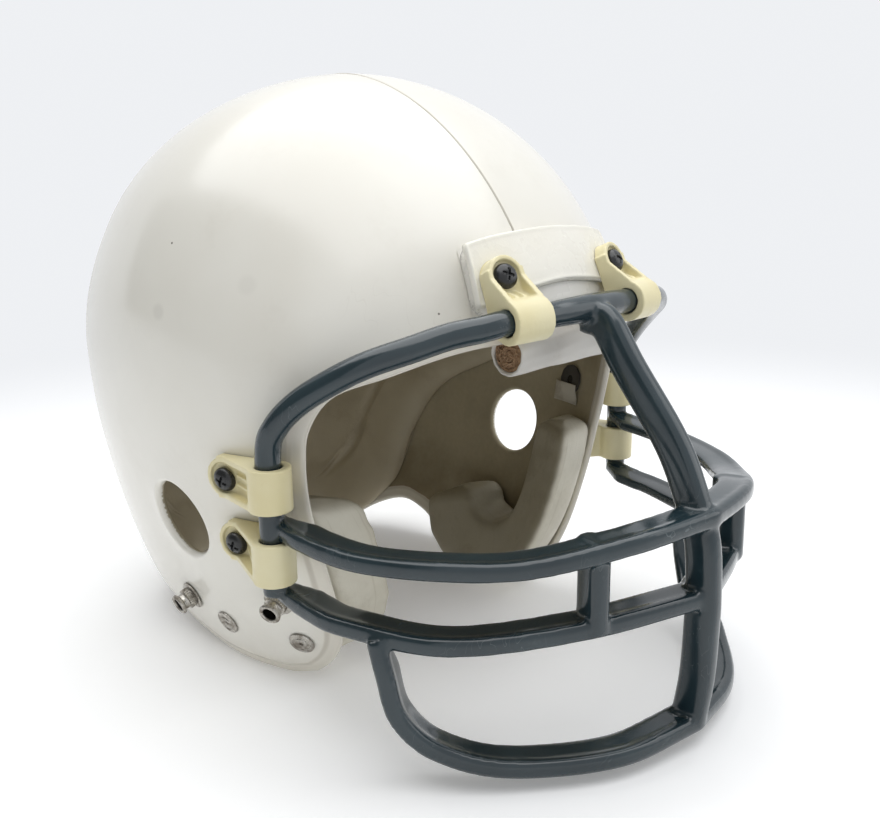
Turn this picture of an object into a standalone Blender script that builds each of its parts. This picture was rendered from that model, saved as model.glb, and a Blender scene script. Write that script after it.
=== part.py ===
"""An American football helmet with a moulded face guard, standing on its jaw flaps and its nape.

The wearer faces -Y and +X is the wearer's left. Units are metres, and z is 0 on the floor.
The origin is on the floor under the middle of the helmet's length.
"""

import math

import bmesh
import bpy
import numpy as np
from mathutils import Matrix, Vector

# Shell: a rounded dome, measured from the point where it is widest
HALF_WIDTH = 0.1199
FRONT_REACH = 0.1254
BACK_REACH = 0.1431
TOP_RISE = 0.1234
LOWER_REACH = 0.1953
WIDEST_Y = 0.0283
WIDEST_Z = 0.1367
WALL = 0.004

# How full the dome is: 2 is an ellipse, more is boxier
FRONT_TOP_POWER = 1.785
BACK_TOP_POWER = 1.875
FRONT_LOW_POWER = 1.798
BACK_LOW_POWER = 2.567
CROWN_POWER = 1.946
FLANK_POWER = 2.347
BLEND_SLOPE = 1.3
BLEND_START = 0.4

# How the half width changes away from the widest point, per length of TAPER_LENGTH
TAPER_LENGTH = 0.13
TAPER_BACK_SHARE = -0.0125
TAPER_UP_SHARE = 0.1544
TAPER_ENDS_SHARE = 0.0464

# Shapes as shares of the piece that carries them
SCREW_HEAD_SHARES = ((0.55, 0.90), (0.90, 0.55), (1.00, 0.20), (1.00, 0.00))
LINER_DRAW_SHARE = 0.70
PAD_CROWN_SHARE = 1.08
PAD_STEP_SHARE = 0.045
POST_COLLAR_SHARE = 0.45
CLAMP_FOOT_SHARE = 0.60
EAR_WAIST_SHARE = 0.33

# Face guard
GUARD_REACH_SHARE = 1.5925
GUARD_REACH = FRONT_REACH * GUARD_REACH_SHARE
BEAD_HEIGHT = 0.0070
BEAD_DEPTH = 0.0045
WEB_HEIGHT = 0.0042
BAR_DEPTH = 0.0145
BAR_CHAMFER = 0.0012
BAR_END_DEPTH = 0.0069
END_TAPER = 0.0220
RIDGE_WIDTH = 0.0085
RIDGE_DEPTH = 0.0135
BROW_BAR_RADIUS = 0.0050

# Clamps that hold the guard, and their fasteners
CLAMP_WIDTH = 0.0168
CLAMP_LOOP_WALL = 0.0035
CLAMP_BORE_CLEARANCE = 0.0007
CLAMP_EAR_THICK = 0.0042
CLAMP_RIB_HEIGHT = 0.0022
EAR_END_RADIUS = 0.0080
SCREW_SHAFT_RADIUS = 0.0022
SCREW_HEAD_RADIUS = 0.0053
SCREW_HEAD_HEIGHT = 0.0034
NUT_FLANGE_RADIUS = 0.0080
NUT_FLANGE_THICK = 0.0012
NUT_BARREL_RADIUS = 0.0034
NUT_SEAT_GAP = 0.0008

# Brow bumper, its thin name plate and the roll over the brow edge
BUMPER_THICK = 0.0060
PLATE_THICK = 0.0020
ROLL_RADIUS = 0.0082
ROLL_COVER_WALL = 0.0012
ROLL_HALF_LENGTH = 0.0300
ROLL_BACK = 0.0040
ROLL_DROP = 0.0045
ROLL_SLOT_MARGIN = 0.0028

# Soft parts
LINER_THICK = 0.0085
LINER_GAP = 0.0006
PAD_THICK = 0.0310
PAD_FLOOR_GAP = 0.0030

# Chin strap posts and jaw pad snaps
POST_FLANGE_RADIUS = 0.0066
POST_FLANGE_THICK = 0.0012
POST_COLLAR_RADIUS = 0.0046
POST_TUBE_RADIUS = 0.0036
POST_HEIGHT = 0.0075
POST_BORE_RADIUS = 0.0020
POST_SCREW_RADIUS = 0.0016
POST_SCREW_HEAD_RADIUS = 0.0045
POST_SCREW_HEAD_THICK = 0.0014
SNAP_FLANGE_RADIUS = 0.0058
SNAP_FLANGE_THICK = 0.0008
SNAP_SHAFT_RADIUS = 0.0015
SNAP_BALL_RADIUS = 0.0025
SNAP_BALL_DEPTH = 0.0040
SNAP_HOLE_RADIUS = 0.0010
SOCKET_RADIUS = 0.0055
SOCKET_BORE_RADIUS = 0.0034
SOCKET_HEIGHT = 0.0046

# Openings
EAR_HOLE_RADIUS = 0.0170

# Fits and mesh fineness
GAP = 0.0003
BORE_CLEARANCE = 0.0004
RELIEF_CLEARANCE = 0.0028
OVERRUN = 0.0300
DOME_SEGMENTS = 42
DOME_RINGS = 22
TURN_STEPS = 12
ROLL_STEPS = 20
EAR_HOLE_STEPS = 28
PATH_STEP = 0.0110
EDGE_STEP = 0.0060
SMALL = 1e-5

SHELL_LENGTH = FRONT_REACH + BACK_REACH
SHELL_HEIGHT = WIDEST_Z + TOP_RISE
BROW_Y = WIDEST_Y - FRONT_REACH

# The shell's side outline as shares of its length from the brow and of its height from the floor
FACE_EDGE_SHARES = (
    (-0.007, 0.592), (0.033, 0.587), (0.082, 0.559), (0.135, 0.531), (0.170, 0.480), (0.186, 0.439),
    (0.192, 0.385), (0.188, 0.345), (0.178, 0.269), (0.180, 0.194), (0.197, 0.109), (0.234, 0.047),
    (0.280, 0.014),
)
ARCH_EDGE_SHARES = (
    (0.495, 0.002), (0.593, 0.023), (0.648, 0.050), (0.704, 0.066), (0.760, 0.048), (0.810, 0.010),
)
FLAP_BOTTOM_SHARES = (0.330, 0.480)
NAPE_BOTTOM_SHARE = 0.830
LINER_EDGE_SHARES = (
    (0.053, 0.659), (0.144, 0.617), (0.220, 0.584), (0.369, 0.499), (0.513, 0.415), (0.647, 0.340),
    (0.707, 0.237), (0.725, 0.132), (0.740, 0.092), (0.780, 0.038), (0.815, 0.012),
)

# The name plate's upper and lower edges, and the bumper's, as shares of half width and of height
PLATE_TOP_SHARES = ((0.366, 0.7210), (0.200, 0.7330), (0.000, 0.7385))
PLATE_LOW_SHARES = ((0.377, 0.636), (0.239, 0.655), (0.124, 0.670), (0.000, 0.6775))
BUMPER_TOP_SHARES = ((0.342, 0.7240), (0.200, 0.7360), (0.000, 0.7415))
BUMPER_LOW_SHARES = ((0.352, 0.633), (0.200, 0.628), (0.000, 0.628))

# Places on the shell's side, as the same shares of length and height
EAR_HOLE_SHARES = (0.443, 0.289)
SIDE_SCREW_SHARES = {"upper": (0.283, 0.404), "lower": (0.298, 0.293)}
STRAP_POST_SHARES = {"rear": (0.508, 0.117), "front": (0.279, 0.176)}
PAD_SNAP_SHARES = {"rear": (0.421, 0.091), "front": (0.277, 0.089)}
TOP_SCREW_SHARES = (0.257, 0.672)

# Jaw pad: places along its middle from the front lobe's top, and its half width there
PAD_PATH_SHARES = (
    (0.240, 0.345), (0.240, 0.310), (0.242, 0.245), (0.253, 0.165), (0.286, 0.100), (0.339, 0.066),
    (0.399, 0.062), (0.449, 0.078), (0.482, 0.112), (0.495, 0.150),
)
PAD_HALF_WIDTHS = (0.0135, 0.0155, 0.0155, 0.0150, 0.0140, 0.0130, 0.0130, 0.0150, 0.0170, 0.0160)

# The guard's bars as shares of the shell's half width, of the guard's reach and of the shell's height
BROW_BAR_SHARES = (
    (0.909, 0.3726, 0.240), (0.909, 0.3726, 0.345), (0.909, 0.3726, 0.457), (0.899, 0.3975, 0.499),
    (0.863, 0.4404, 0.535), (0.800, 0.4928, 0.566), (0.730, 0.5400, 0.589), (0.634, 0.5880, 0.607),
    (0.533, 0.6241, 0.622), (0.442, 0.6498, 0.628), (0.367, 0.6627, 0.633), (0.274, 0.6730, 0.634),
    (0.184, 0.6816, 0.636), (0.000, 0.6919, 0.638),
)
UPPER_BAR_SHARES = (
    (0.917, 0.3657, 0.347), (0.924, 0.4558, 0.338), (0.886, 0.5932, 0.332), (0.756, 0.7382, 0.333),
    (0.586, 0.8481, 0.337), (0.329, 0.9502, 0.358), (0.000, 0.9914, 0.363),
)
LOWER_BAR_SHARES = (
    (0.910, 0.3657, 0.243), (0.910, 0.4558, 0.231), (0.888, 0.5503, 0.226), (0.751, 0.7391, 0.224),
    (0.438, 0.8944, 0.237), (0.000, 0.9897, 0.241),
)
CHIN_LOOP_SHARES = (
    (0.867, 0.6275, 0.225), (0.862, 0.6481, 0.170), (0.843, 0.6696, 0.110), (0.766, 0.7211, 0.062),
    (0.613, 0.8155, 0.036), (0.326, 0.9356, 0.033), (0.000, 0.9828, 0.040),
)
RIDGE_SHARES = (
    (0.000, 0.6867, 0.651), (0.000, 0.7468, 0.639), (0.000, 0.8120, 0.571), (0.000, 0.9090, 0.476),
    (0.000, 0.9571, 0.405), (0.000, 0.9914, 0.330), (0.000, 1.0000, 0.250), (0.000, 1.0000, 0.190),
    (0.000, 0.9957, 0.110), (0.000, 0.9828, 0.040),
)
STUB_SHARES = ((0.398, 0.9142, 0.365), (0.402, 0.9142, 0.230))
GUARD_CENTRE_SHARES = (0.0, 0.2705, 0.35)

parts = bpy.data.collections.new("football_helmet")
cutters = bpy.data.collections.new("cutters")


def clear_scene():
    for leftover in list(bpy.data.objects):
        bpy.data.objects.remove(leftover)
    bpy.context.scene.collection.children.link(parts)
    bpy.context.scene.collection.children.link(cutters)


def material(name, colour, roughness, metallic=0.0):
    made = bpy.data.materials.new(name)
    made.use_nodes = True
    shader = made.node_tree.nodes["Principled BSDF"]
    shader.inputs["Base Color"].default_value = (*colour, 1.0)
    shader.inputs["Roughness"].default_value = roughness
    shader.inputs["Metallic"].default_value = metallic
    made.diffuse_color = (*colour, 1.0)
    return made


def finish(piece, look):
    """Puts a piece among the parts with its own copy of a look."""
    parts.objects.link(piece)
    own = look.copy()
    own.name = piece.name
    piece.data.materials.clear()
    piece.data.materials.append(own)
    piece.data.shade_smooth()
    piece.data.set_sharp_from_angle(angle=math.radians(35))
    return piece


def hidden(tool):
    """Puts a cutter where it is neither drawn nor counted."""
    cutters.objects.link(tool)
    tool.hide_render = True
    tool.display_type = "WIRE"
    return tool


def combine(piece, tool, operation):
    step = piece.modifiers.new(f"{operation.lower()}_{tool.name}", "BOOLEAN")
    step.operation = operation
    step.solver = "EXACT"
    step.object = tool


def half_width(y, z):
    """The dome's half width on its middle section, before it closes in at its ends."""
    back = (y - WIDEST_Y) / TAPER_LENGTH
    up = (z - WIDEST_Z) / TAPER_LENGTH
    return HALF_WIDTH * (1 + TAPER_BACK_SHARE * back + TAPER_UP_SHARE * up + TAPER_ENDS_SHARE * up**2)


def section(y, z):
    """How far a place is towards the dome's side outline, and the two powers that shape it there."""
    reach = np.where(y < WIDEST_Y, FRONT_REACH, BACK_REACH)
    rise = np.where(z > WIDEST_Z, TOP_RISE, LOWER_REACH)
    top = np.where(y < WIDEST_Y, FRONT_TOP_POWER, BACK_TOP_POWER)
    low = np.where(y < WIDEST_Y, FRONT_LOW_POWER, BACK_LOW_POWER)
    power = np.where(z > WIDEST_Z, top, low)
    blend = np.clip((z - WIDEST_Z) / TAPER_LENGTH * BLEND_SLOPE + BLEND_START, 0, 1)
    blend = blend * blend * (3 - 2 * blend)
    across = FLANK_POWER + (CROWN_POWER - FLANK_POWER) * blend
    out = (np.abs(y - WIDEST_Y) / reach) ** power + (np.abs(z - WIDEST_Z) / rise) ** power
    return out, power, across


def level(points):
    """One on the shell's outer face and less inside it."""
    x, y, z = points[..., 0], points[..., 1], points[..., 2]
    out, power, across = section(y, z)
    return ((np.abs(x) / half_width(y, z)) ** across + out ** (across / power)) ** (1 / across)


def dome_normal(points):
    """Outward unit normals of the dome, from the slope of its level."""
    slope = np.empty_like(points)
    for axis in range(3):
        shift = np.zeros(3)
        shift[axis] = HALF_WIDTH * 1e-3
        slope[..., axis] = level(points + shift) - level(points - shift)
    return slope / np.linalg.norm(slope, axis=-1, keepdims=True)


def on_dome(directions):
    """Where rays from the dome's widest point meet its outer face."""
    middle = np.array((0.0, WIDEST_Y, WIDEST_Z))
    reach = np.full(len(directions), HALF_WIDTH)
    for _ in range(60):
        reach = reach / level(middle + directions * reach[:, None])
    return middle + directions * reach[:, None]


def side_place(shares, side):
    """The place on the shell's outer face at shares of its length and height, on side -1 or 1."""
    y = BROW_Y + shares[0] * SHELL_LENGTH
    z = shares[1] * SHELL_HEIGHT
    out, power, across = section(y, z)
    x = half_width(y, z) * (1 - out ** (across / power)) ** (1 / across)
    return np.array((side * float(x), y, z))


def front_place(x_share, z_share, side):
    """The place on the shell's brow at shares of its half width and height."""
    x, z = side * x_share * HALF_WIDTH, z_share * SHELL_HEIGHT
    near, far = BROW_Y - WALL, WIDEST_Y
    for _ in range(50):
        y = (near + far) / 2
        if level(np.array((x, y, z))) > 1:
            near = y
        else:
            far = y
    return np.array((x, y, z))


def guard_place(shares, side=-1):
    """A place on the guard, its reach measured forward from where the dome is widest."""
    x, ahead, z = side * shares[0] * HALF_WIDTH, shares[1] * GUARD_REACH, shares[2] * SHELL_HEIGHT
    return np.array((x, WIDEST_Y - ahead, z))


def curve_through(points, step):
    """Points about a step apart on a smooth curve through the given ones."""
    points = np.array(points, float)
    ends = np.vstack([2 * points[0] - points[1], points, 2 * points[-1] - points[-2]])
    made = []
    for before, start, end, after in zip(ends, ends[1:], ends[2:], ends[3:]):
        count = max(1, round(float(np.linalg.norm(end - start)) / step))
        for share in np.arange(count) / count:
            made.append(
                start
                + 0.5 * share * (end - before)
                + share**2 * (before - 2.5 * start + 2 * end - 0.5 * after)
                + 0.5 * share**3 * (3 * start - before - 3 * end + after)
            )
    made.append(points[-1])
    return np.array(made)


def both_sides(half):
    """A path from the wearer's right to the middle, carried on to the wearer's left."""
    return np.vstack([half, half[-2::-1] * np.array((-1, 1, 1))])


def mesh_object(name, shape):
    """A mesh object from a bmesh, with its faces pointing out."""
    bmesh.ops.recalc_face_normals(shape, faces=shape.faces)
    mesh = bpy.data.meshes.new(name)
    shape.to_mesh(mesh)
    shape.free()
    return bpy.data.objects.new(name, mesh)


def dome(name, grow, sink=None):
    """A closed dome `grow` outside the shell's outer face, or further by `sink` at each of its points."""
    ball = bmesh.new()
    bmesh.ops.create_uvsphere(ball, u_segments=DOME_SEGMENTS, v_segments=DOME_RINGS, radius=1)
    points = on_dome(np.array([vertex.co.normalized() for vertex in ball.verts], float))
    grown = grow if sink is None else (grow + sink(points))[:, None]
    for vertex, place in zip(ball.verts, points + dome_normal(points) * grown):
        vertex.co = place
    return mesh_object(name, ball)


def prism(name, outline, half_depth, placement):
    """A flat outline made solid to both sides of its plane, which `placement` turns and moves."""
    flat = bpy.data.curves.new(name, "CURVE")
    flat.dimensions = "2D"
    flat.fill_mode = "BOTH"
    flat.extrude = half_depth
    spline = flat.splines.new("POLY")
    spline.points.add(len(outline) - 1)
    for point, (across, up) in zip(spline.points, outline):
        point.co = (across, up, 0, 1)
    spline.use_cyclic_u = True
    holder = bpy.data.objects.new(name + "_outline", flat)
    bpy.context.scene.collection.objects.link(holder)
    bpy.context.view_layer.update()
    mesh = bpy.data.meshes.new_from_object(holder.evaluated_get(bpy.context.evaluated_depsgraph_get()))
    bpy.data.objects.remove(holder)
    shape = bmesh.new()
    shape.from_mesh(mesh)
    bpy.data.meshes.remove(mesh)
    bmesh.ops.remove_doubles(shape, verts=shape.verts, dist=SMALL)
    bmesh.ops.transform(shape, matrix=placement, verts=shape.verts)
    return mesh_object(name, shape)


SIDE_VIEW = Matrix(((0, 0, 1, 0), (1, 0, 0, 0), (0, 1, 0, 0), (0, 0, 0, 1)))
FRONT_VIEW = Matrix(((1, 0, 0, 0), (0, 0, -1, 0), (0, 1, 0, 0), (0, 0, 0, 1)))


def axes_matrix(ahead, up):
    """The rotation that turns +Y to `ahead` and +Z to `up`."""
    return Matrix((ahead.cross(up), ahead, up)).transposed().to_4x4()


def frame_at(place, axis, hint=(0, 0, 1)):
    """A placement at `place` with +Z along `axis` and +Y as near `hint` as it can be."""
    up = Vector(axis).normalized()
    ahead = (Vector(hint) - Vector(hint).dot(up) * up).normalized()
    return Matrix.Translation(place) @ axes_matrix(ahead, up)


def turned(name, profile, placement, steps=TURN_STEPS, closed=False):
    """A turned piece. The profile's (radius, height) points run down its outer side."""
    mesh = bpy.data.meshes.new(name)
    edges = [(i, i + 1) for i in range(len(profile) - 1)]
    if closed:
        edges.append((len(profile) - 1, 0))
    mesh.from_pydata([(radius, 0, height) for radius, height in profile], edges, [])
    piece = bpy.data.objects.new(name, mesh)
    screw = piece.modifiers.new("turn", "SCREW")
    screw.steps = steps
    screw.render_steps = steps
    screw.use_merge_vertices = True
    screw.merge_threshold = SMALL
    piece.matrix_world = placement
    return piece


def drill(name, radius, placement, below, above):
    """A cylinder cutter from `below` under its placement to `above` over it."""
    profile = [(0, above), (radius, above), (radius, -below), (0, -below)]
    return hidden(turned(name, profile, placement))


def bar_section(depth):
    """A bar's section as (outward, across) points: a bead on its outer edge and a web behind it."""
    high, web, cut = BEAD_HEIGHT / 2, WEB_HEIGHT / 2, BAR_CHAMFER
    back = max(depth, BEAD_DEPTH + 2 * cut)
    half = [
        (0, high - cut), (-cut, high), (-BEAD_DEPTH, high),
        (-BEAD_DEPTH - cut, web), (cut - back, web), (-back, web - cut),
    ]
    return half + [(out, -across) for out, across in half[::-1]]


def ridge_section():
    """The section of the centre ridge and the stubs, rounded on its outer face."""
    half_wide, cut = RIDGE_WIDTH / 2, BAR_CHAMFER
    half = [
        (0, half_wide - 2 * cut), (-cut, half_wide - cut / 2), (-2 * cut, half_wide),
        (cut - RIDGE_DEPTH, half_wide), (-RIDGE_DEPTH, half_wide - cut),
    ]
    return half + [(out, -across) for out, across in half[::-1]]


def round_section(radius, sides=10):
    turns = [math.tau * (k + 0.5) / sides for k in range(sides)]
    return [(radius * math.cos(turn), radius * math.sin(turn)) for turn in turns]


def loft(name, path, sections, level_out=True):
    """A bar along a path. A section's first axis points away from the guard's centre, level if asked."""
    centre = guard_place(GUARD_CENTRE_SHARES)
    shape = bmesh.new()
    rings = []
    for k, (place, outline) in enumerate(zip(path, sections)):
        along = path[min(k + 1, len(path) - 1)] - path[max(k - 1, 0)]
        along = along / np.linalg.norm(along)
        outward = place - centre
        if level_out:
            outward[2] = 0
        outward = outward - along * outward.dot(along)
        outward = outward / np.linalg.norm(outward)
        across = np.cross(along, outward)
        rings.append([shape.verts.new(place + out * outward + side * across) for out, side in outline])
    for ring, following in zip(rings, rings[1:]):
        for k in range(len(ring)):
            after = (k + 1) % len(ring)
            shape.faces.new((ring[k], ring[after], following[after], following[k]))
    shape.faces.new(rings[0])
    shape.faces.new(rings[-1][::-1])
    return mesh_object(name, shape)


def side_line(shares):
    """A smooth line in the side view through places at shares of the shell's length and height."""
    return curve_through([(BROW_Y + a * SHELL_LENGTH, b * SHELL_HEIGHT) for a, b in shares], EDGE_STEP)


def shell_outline():
    """The shell's side outline, from above the brow round the back to the floor and up the face edge."""
    face = side_line(FACE_EDGE_SHARES)
    arch = side_line(ARCH_EDGE_SHARES)
    front, back, top = BROW_Y - OVERRUN, WIDEST_Y + BACK_REACH + OVERRUN, SHELL_HEIGHT + OVERRUN
    flap = [(BROW_Y + share * SHELL_LENGTH, 0.0) for share in FLAP_BOTTOM_SHARES]
    nape = (BROW_Y + NAPE_BOTTOM_SHARE * SHELL_LENGTH, 0.0)
    return [(front, face[0][1]), *face, *flap, *arch, nape, (back, 0.0), (back, top), (front, top)]


def build_shell(look):
    shell = dome("shell", 0)
    combine(shell, hidden(dome("shell_inside", -WALL)), "DIFFERENCE")
    outline = prism("shell_side_view", shell_outline(), HALF_WIDTH + OVERRUN, SIDE_VIEW)
    combine(shell, hidden(outline), "INTERSECT")
    for side, word in ((-1, "right"), (1, "left")):
        ear = side_place(EAR_HOLE_SHARES, side)
        hole = drill(f"{word}_ear_hole", EAR_HOLE_RADIUS, frame_at(ear, (side, 0, 0)), OVERRUN, OVERRUN)
        hole.modifiers["turn"].steps = EAR_HOLE_STEPS
        hole.modifiers["turn"].render_steps = EAR_HOLE_STEPS
        combine(shell, hole, "DIFFERENCE")
    return finish(shell, look)


def clamp_profile(height, reach):
    """The clamp's side view: a loop round the bar, an ear on the shell and a gusset between them."""
    radius = BROW_BAR_RADIUS + CLAMP_BORE_CLEARANCE + CLAMP_LOOP_WALL
    arc = [math.radians(turn) for turn in range(50, 291, 20)]
    loop = [(radius * math.cos(turn), height + radius * math.sin(turn)) for turn in arc]
    top = CLAMP_EAR_THICK + CLAMP_RIB_HEIGHT
    end = reach + EAR_END_RADIUS
    foot = [(radius * CLAMP_FOOT_SHARE, -CLAMP_EAR_THICK), (end, -CLAMP_EAR_THICK)]
    return [*loop, *foot, (end, top - CLAMP_RIB_HEIGHT / 2), (end - CLAMP_RIB_HEIGHT, top)]


def ear_plan(reach):
    """The clamp from above: as wide as its loop, with a rounded end round the screw."""
    back = BROW_BAR_RADIUS + CLAMP_BORE_CLEARANCE + CLAMP_LOOP_WALL + OVERRUN
    arc = [math.radians(turn) for turn in range(0, 181, 20)]
    end = [(EAR_END_RADIUS * math.cos(turn), reach + EAR_END_RADIUS * math.sin(turn)) for turn in arc]
    half = CLAMP_WIDTH / 2
    waist = reach * EAR_WAIST_SHARE
    return [(half, -back), (half, waist), *end, (-half, waist), (-half, -back)]


def head_recess(reach):
    """The recess round the screw's head from above, between the ear's two ribs."""
    near = BROW_BAR_RADIUS + CLAMP_BORE_CLEARANCE + CLAMP_LOOP_WALL
    far = reach + OVERRUN
    half = SCREW_HEAD_RADIUS + BORE_CLEARANCE
    return [(-half, near), (half, near), (half, far), (-half, far)]


def build_clamp(name, bar_place, bar_along, seat, looks, shell, stack=()):
    """One clamp with its screw and nut: a loop round the bar and an ear that follows what it sits on."""
    outward = Vector(dome_normal(seat))
    under = BUMPER_THICK + PLATE_THICK + 2 * GAP if stack else 0
    along = Vector(bar_along).normalized()
    up = (outward - outward.dot(along) * along).normalized()
    base = Vector(seat) + outward * under
    lean = Vector(bar_place) - base
    ahead = -(lean - lean.dot(up) * up - lean.dot(along) * along)
    reach, rise = ahead.length, lean.dot(up)
    ahead.normalize()
    placement = Matrix.Translation(base - reach * ahead) @ axes_matrix(ahead, up)
    body = prism(name, clamp_profile(rise, reach), CLAMP_WIDTH / 2, placement @ SIDE_VIEW)
    combine(body, hidden(prism(name + "_plan", ear_plan(reach), OVERRUN, placement)), "INTERSECT")
    combine(body, hidden(dome(name + "_seat", under + GAP)), "DIFFERENCE")
    screw_frame = frame_at(base, outward, ahead)
    recess_floor = screw_frame @ Matrix.Translation((0, -reach, CLAMP_EAR_THICK + OVERRUN))
    combine(body, hidden(prism(name + "_recess", head_recess(reach), OVERRUN, recess_floor)), "DIFFERENCE")
    bar_axis = placement @ Matrix.Translation((0, 0, rise)) @ Matrix.Rotation(math.radians(90), 4, "Y")
    bore = drill(name + "_bore", BROW_BAR_RADIUS + CLAMP_BORE_CLEARANCE, bar_axis, OVERRUN, OVERRUN)
    combine(body, bore, "DIFFERENCE")
    shaft_hole = SCREW_SHAFT_RADIUS + BORE_CLEARANCE
    combine(body, drill(name + "_screw_hole", shaft_hole, screw_frame, OVERRUN, OVERRUN), "DIFFERENCE")
    finish(body, looks["clamp"])
    build_screw(name.replace("clamp", "clamp_screw"), screw_frame, under, looks["screw"])
    build_nut(name.replace("clamp", "clamp_nut"), screw_frame, under, looks["nut"])
    nut_hole = drill(name + "_nut_hole", NUT_BARREL_RADIUS + BORE_CLEARANCE, screw_frame, OVERRUN, OVERRUN)
    combine(shell, nut_hole, "DIFFERENCE")
    for piece in stack:
        hole = drill(f"{name}_{piece.name}_hole", shaft_hole, screw_frame, OVERRUN, OVERRUN)
        combine(piece, hole, "DIFFERENCE")


def nut_flange_height(under):
    """Where a nut's flange starts, inside the shell and what lies `under` the clamp."""
    return -under - WALL - NUT_SEAT_GAP


def build_screw(name, placement, under, look):
    head = CLAMP_EAR_THICK + GAP
    end = nut_flange_height(under) - NUT_FLANGE_THICK
    profile = [(0, head + SCREW_HEAD_HEIGHT)]
    for wide, high in SCREW_HEAD_SHARES:
        profile.append((SCREW_HEAD_RADIUS * wide, head + SCREW_HEAD_HEIGHT * high))
    profile += [(SCREW_SHAFT_RADIUS, head), (SCREW_SHAFT_RADIUS, end), (0, end)]
    finish(turned(name, profile, placement), look)


def build_nut(name, placement, under, look):
    """A nut whose barrel fills the shell's hole and whose flange bears on the shell's inner face."""
    flange = nut_flange_height(under)
    barrel, inner = flange + WALL, flange - NUT_FLANGE_THICK
    thread = SCREW_SHAFT_RADIUS + GAP
    profile = [
        (thread, barrel), (NUT_BARREL_RADIUS, barrel), (NUT_BARREL_RADIUS, flange),
        (NUT_FLANGE_RADIUS, flange), (NUT_FLANGE_RADIUS, inner), (thread, inner),
    ]
    finish(turned(name, profile, placement, closed=True), look)


def front_outline(top_shares, low_shares):
    """A closed outline in the front view, from its edges on the wearer's right."""
    top = curve_through([(-x * HALF_WIDTH, z * SHELL_HEIGHT) for x, z in top_shares], EDGE_STEP)
    low = curve_through([(-x * HALF_WIDTH, z * SHELL_HEIGHT) for x, z in low_shares], EDGE_STEP)
    half = [tuple(point) for point in (*low[::-1], *top)]
    return half + [(-x, z) for x, z in half[-2:0:-1]]


def dome_layer(name, inner, outer, outline):
    """A piece that follows the dome between two offsets, within an outline in the front view."""
    piece = dome(name, outer)
    combine(piece, hidden(dome(name + "_back", inner)), "DIFFERENCE")
    ahead = Matrix.Translation((0, BROW_Y, 0)) @ FRONT_VIEW
    combine(piece, hidden(prism(name + "_view", outline, FRONT_REACH / 2, ahead)), "INTERSECT")
    return piece


def build_brow(looks):
    """The bumper on the brow and the blank name plate on it."""
    bumper_top = GAP + BUMPER_THICK
    bumper = dome_layer("front_bumper", GAP, bumper_top, front_outline(BUMPER_TOP_SHARES, BUMPER_LOW_SHARES))
    plate_base = bumper_top + GAP
    outline = front_outline(PLATE_TOP_SHARES, PLATE_LOW_SHARES)
    plate = dome_layer("name_plate", plate_base, plate_base + PLATE_THICK, outline)
    return finish(bumper, looks["bumper"]), finish(plate, looks["plate"])


def build_roll(looks):
    """The padded roll over the brow's edge: a thin cover round a foam core, slotted for the shell."""
    brow_edge = FACE_EDGE_SHARES[0][1] * SHELL_HEIGHT
    place = (0, BROW_Y + ROLL_BACK, brow_edge - ROLL_DROP)
    axis = frame_at(place, (1, 0, 0))
    half, outer, inner = ROLL_HALF_LENGTH, ROLL_RADIUS, ROLL_RADIUS - ROLL_COVER_WALL
    tube = [(inner, half), (outer, half), (outer, -half), (inner, -half)]
    cover = turned("front_roll_cover", tube, axis, ROLL_STEPS, True)
    tip, foam = half - ROLL_COVER_WALL, inner - GAP
    core = turned("front_roll_core", [(0, tip), (foam, tip), (foam, -tip), (0, -tip)], axis, ROLL_STEPS)
    slot = dome("roll_slot", GAP)
    combine(slot, hidden(dome("roll_slot_inside", -WALL - GAP)), "DIFFERENCE")
    low = brow_edge - ROLL_SLOT_MARGIN
    window = [(-2 * half, low), (2 * half, low), (2 * half, SHELL_HEIGHT), (-2 * half, SHELL_HEIGHT)]
    ahead = Matrix.Translation((0, BROW_Y, 0)) @ FRONT_VIEW
    combine(slot, hidden(prism("roll_slot_view", window, FRONT_REACH / 2, ahead)), "INTERSECT")
    hidden(slot)
    for piece, look in ((cover, looks["vinyl"]), (core, looks["foam"])):
        combine(piece, slot, "DIFFERENCE")
        finish(piece, look)


def edge_distance(points, line):
    """How far places in the side view lie from a line of points."""
    places = points[:, None, 1:]
    starts, runs = line[:-1], np.diff(line, axis=0)
    share = ((places - starts) * runs).sum(-1) / (runs * runs).sum(-1)
    nearest = starts + np.clip(share, 0, 1)[..., None] * runs
    return np.linalg.norm(places - nearest, axis=-1).min(axis=1)


def build_liner(look):
    """The moulded pad inside the crown and the back, drawn in towards its edge."""
    edge = side_line(LINER_EDGE_SHARES)
    outer = -WALL - LINER_GAP

    def drawn_in(points):
        share = np.clip(edge_distance(points, edge) / (2 * LINER_THICK), 0, 1)
        return LINER_THICK * (1 - share) ** 2 * LINER_DRAW_SHARE

    liner = dome("crown_liner", outer)
    combine(liner, hidden(dome("crown_liner_inside", outer - LINER_THICK, drawn_in)), "DIFFERENCE")
    front, back = BROW_Y, WIDEST_Y + BACK_REACH + OVERRUN
    floor = LINER_EDGE_SHARES[-1][1] * SHELL_HEIGHT
    top = SHELL_HEIGHT + OVERRUN
    outline = [*map(tuple, edge), (back, floor), (back, top), (front, top), (front, edge[0][1])]
    combine(liner, hidden(prism("crown_liner_view", outline, HALF_WIDTH, SIDE_VIEW)), "INTERSECT")
    return finish(liner, look)


def pad_axis(side):
    """The direction in which a jaw pad snaps on: the shell's normal between its two snaps."""
    places = [side_place(shares, side) for shares in PAD_SNAP_SHARES.values()]
    middle = np.mean([dome_normal(place) for place in places], axis=0)
    return middle / np.linalg.norm(middle)


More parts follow.
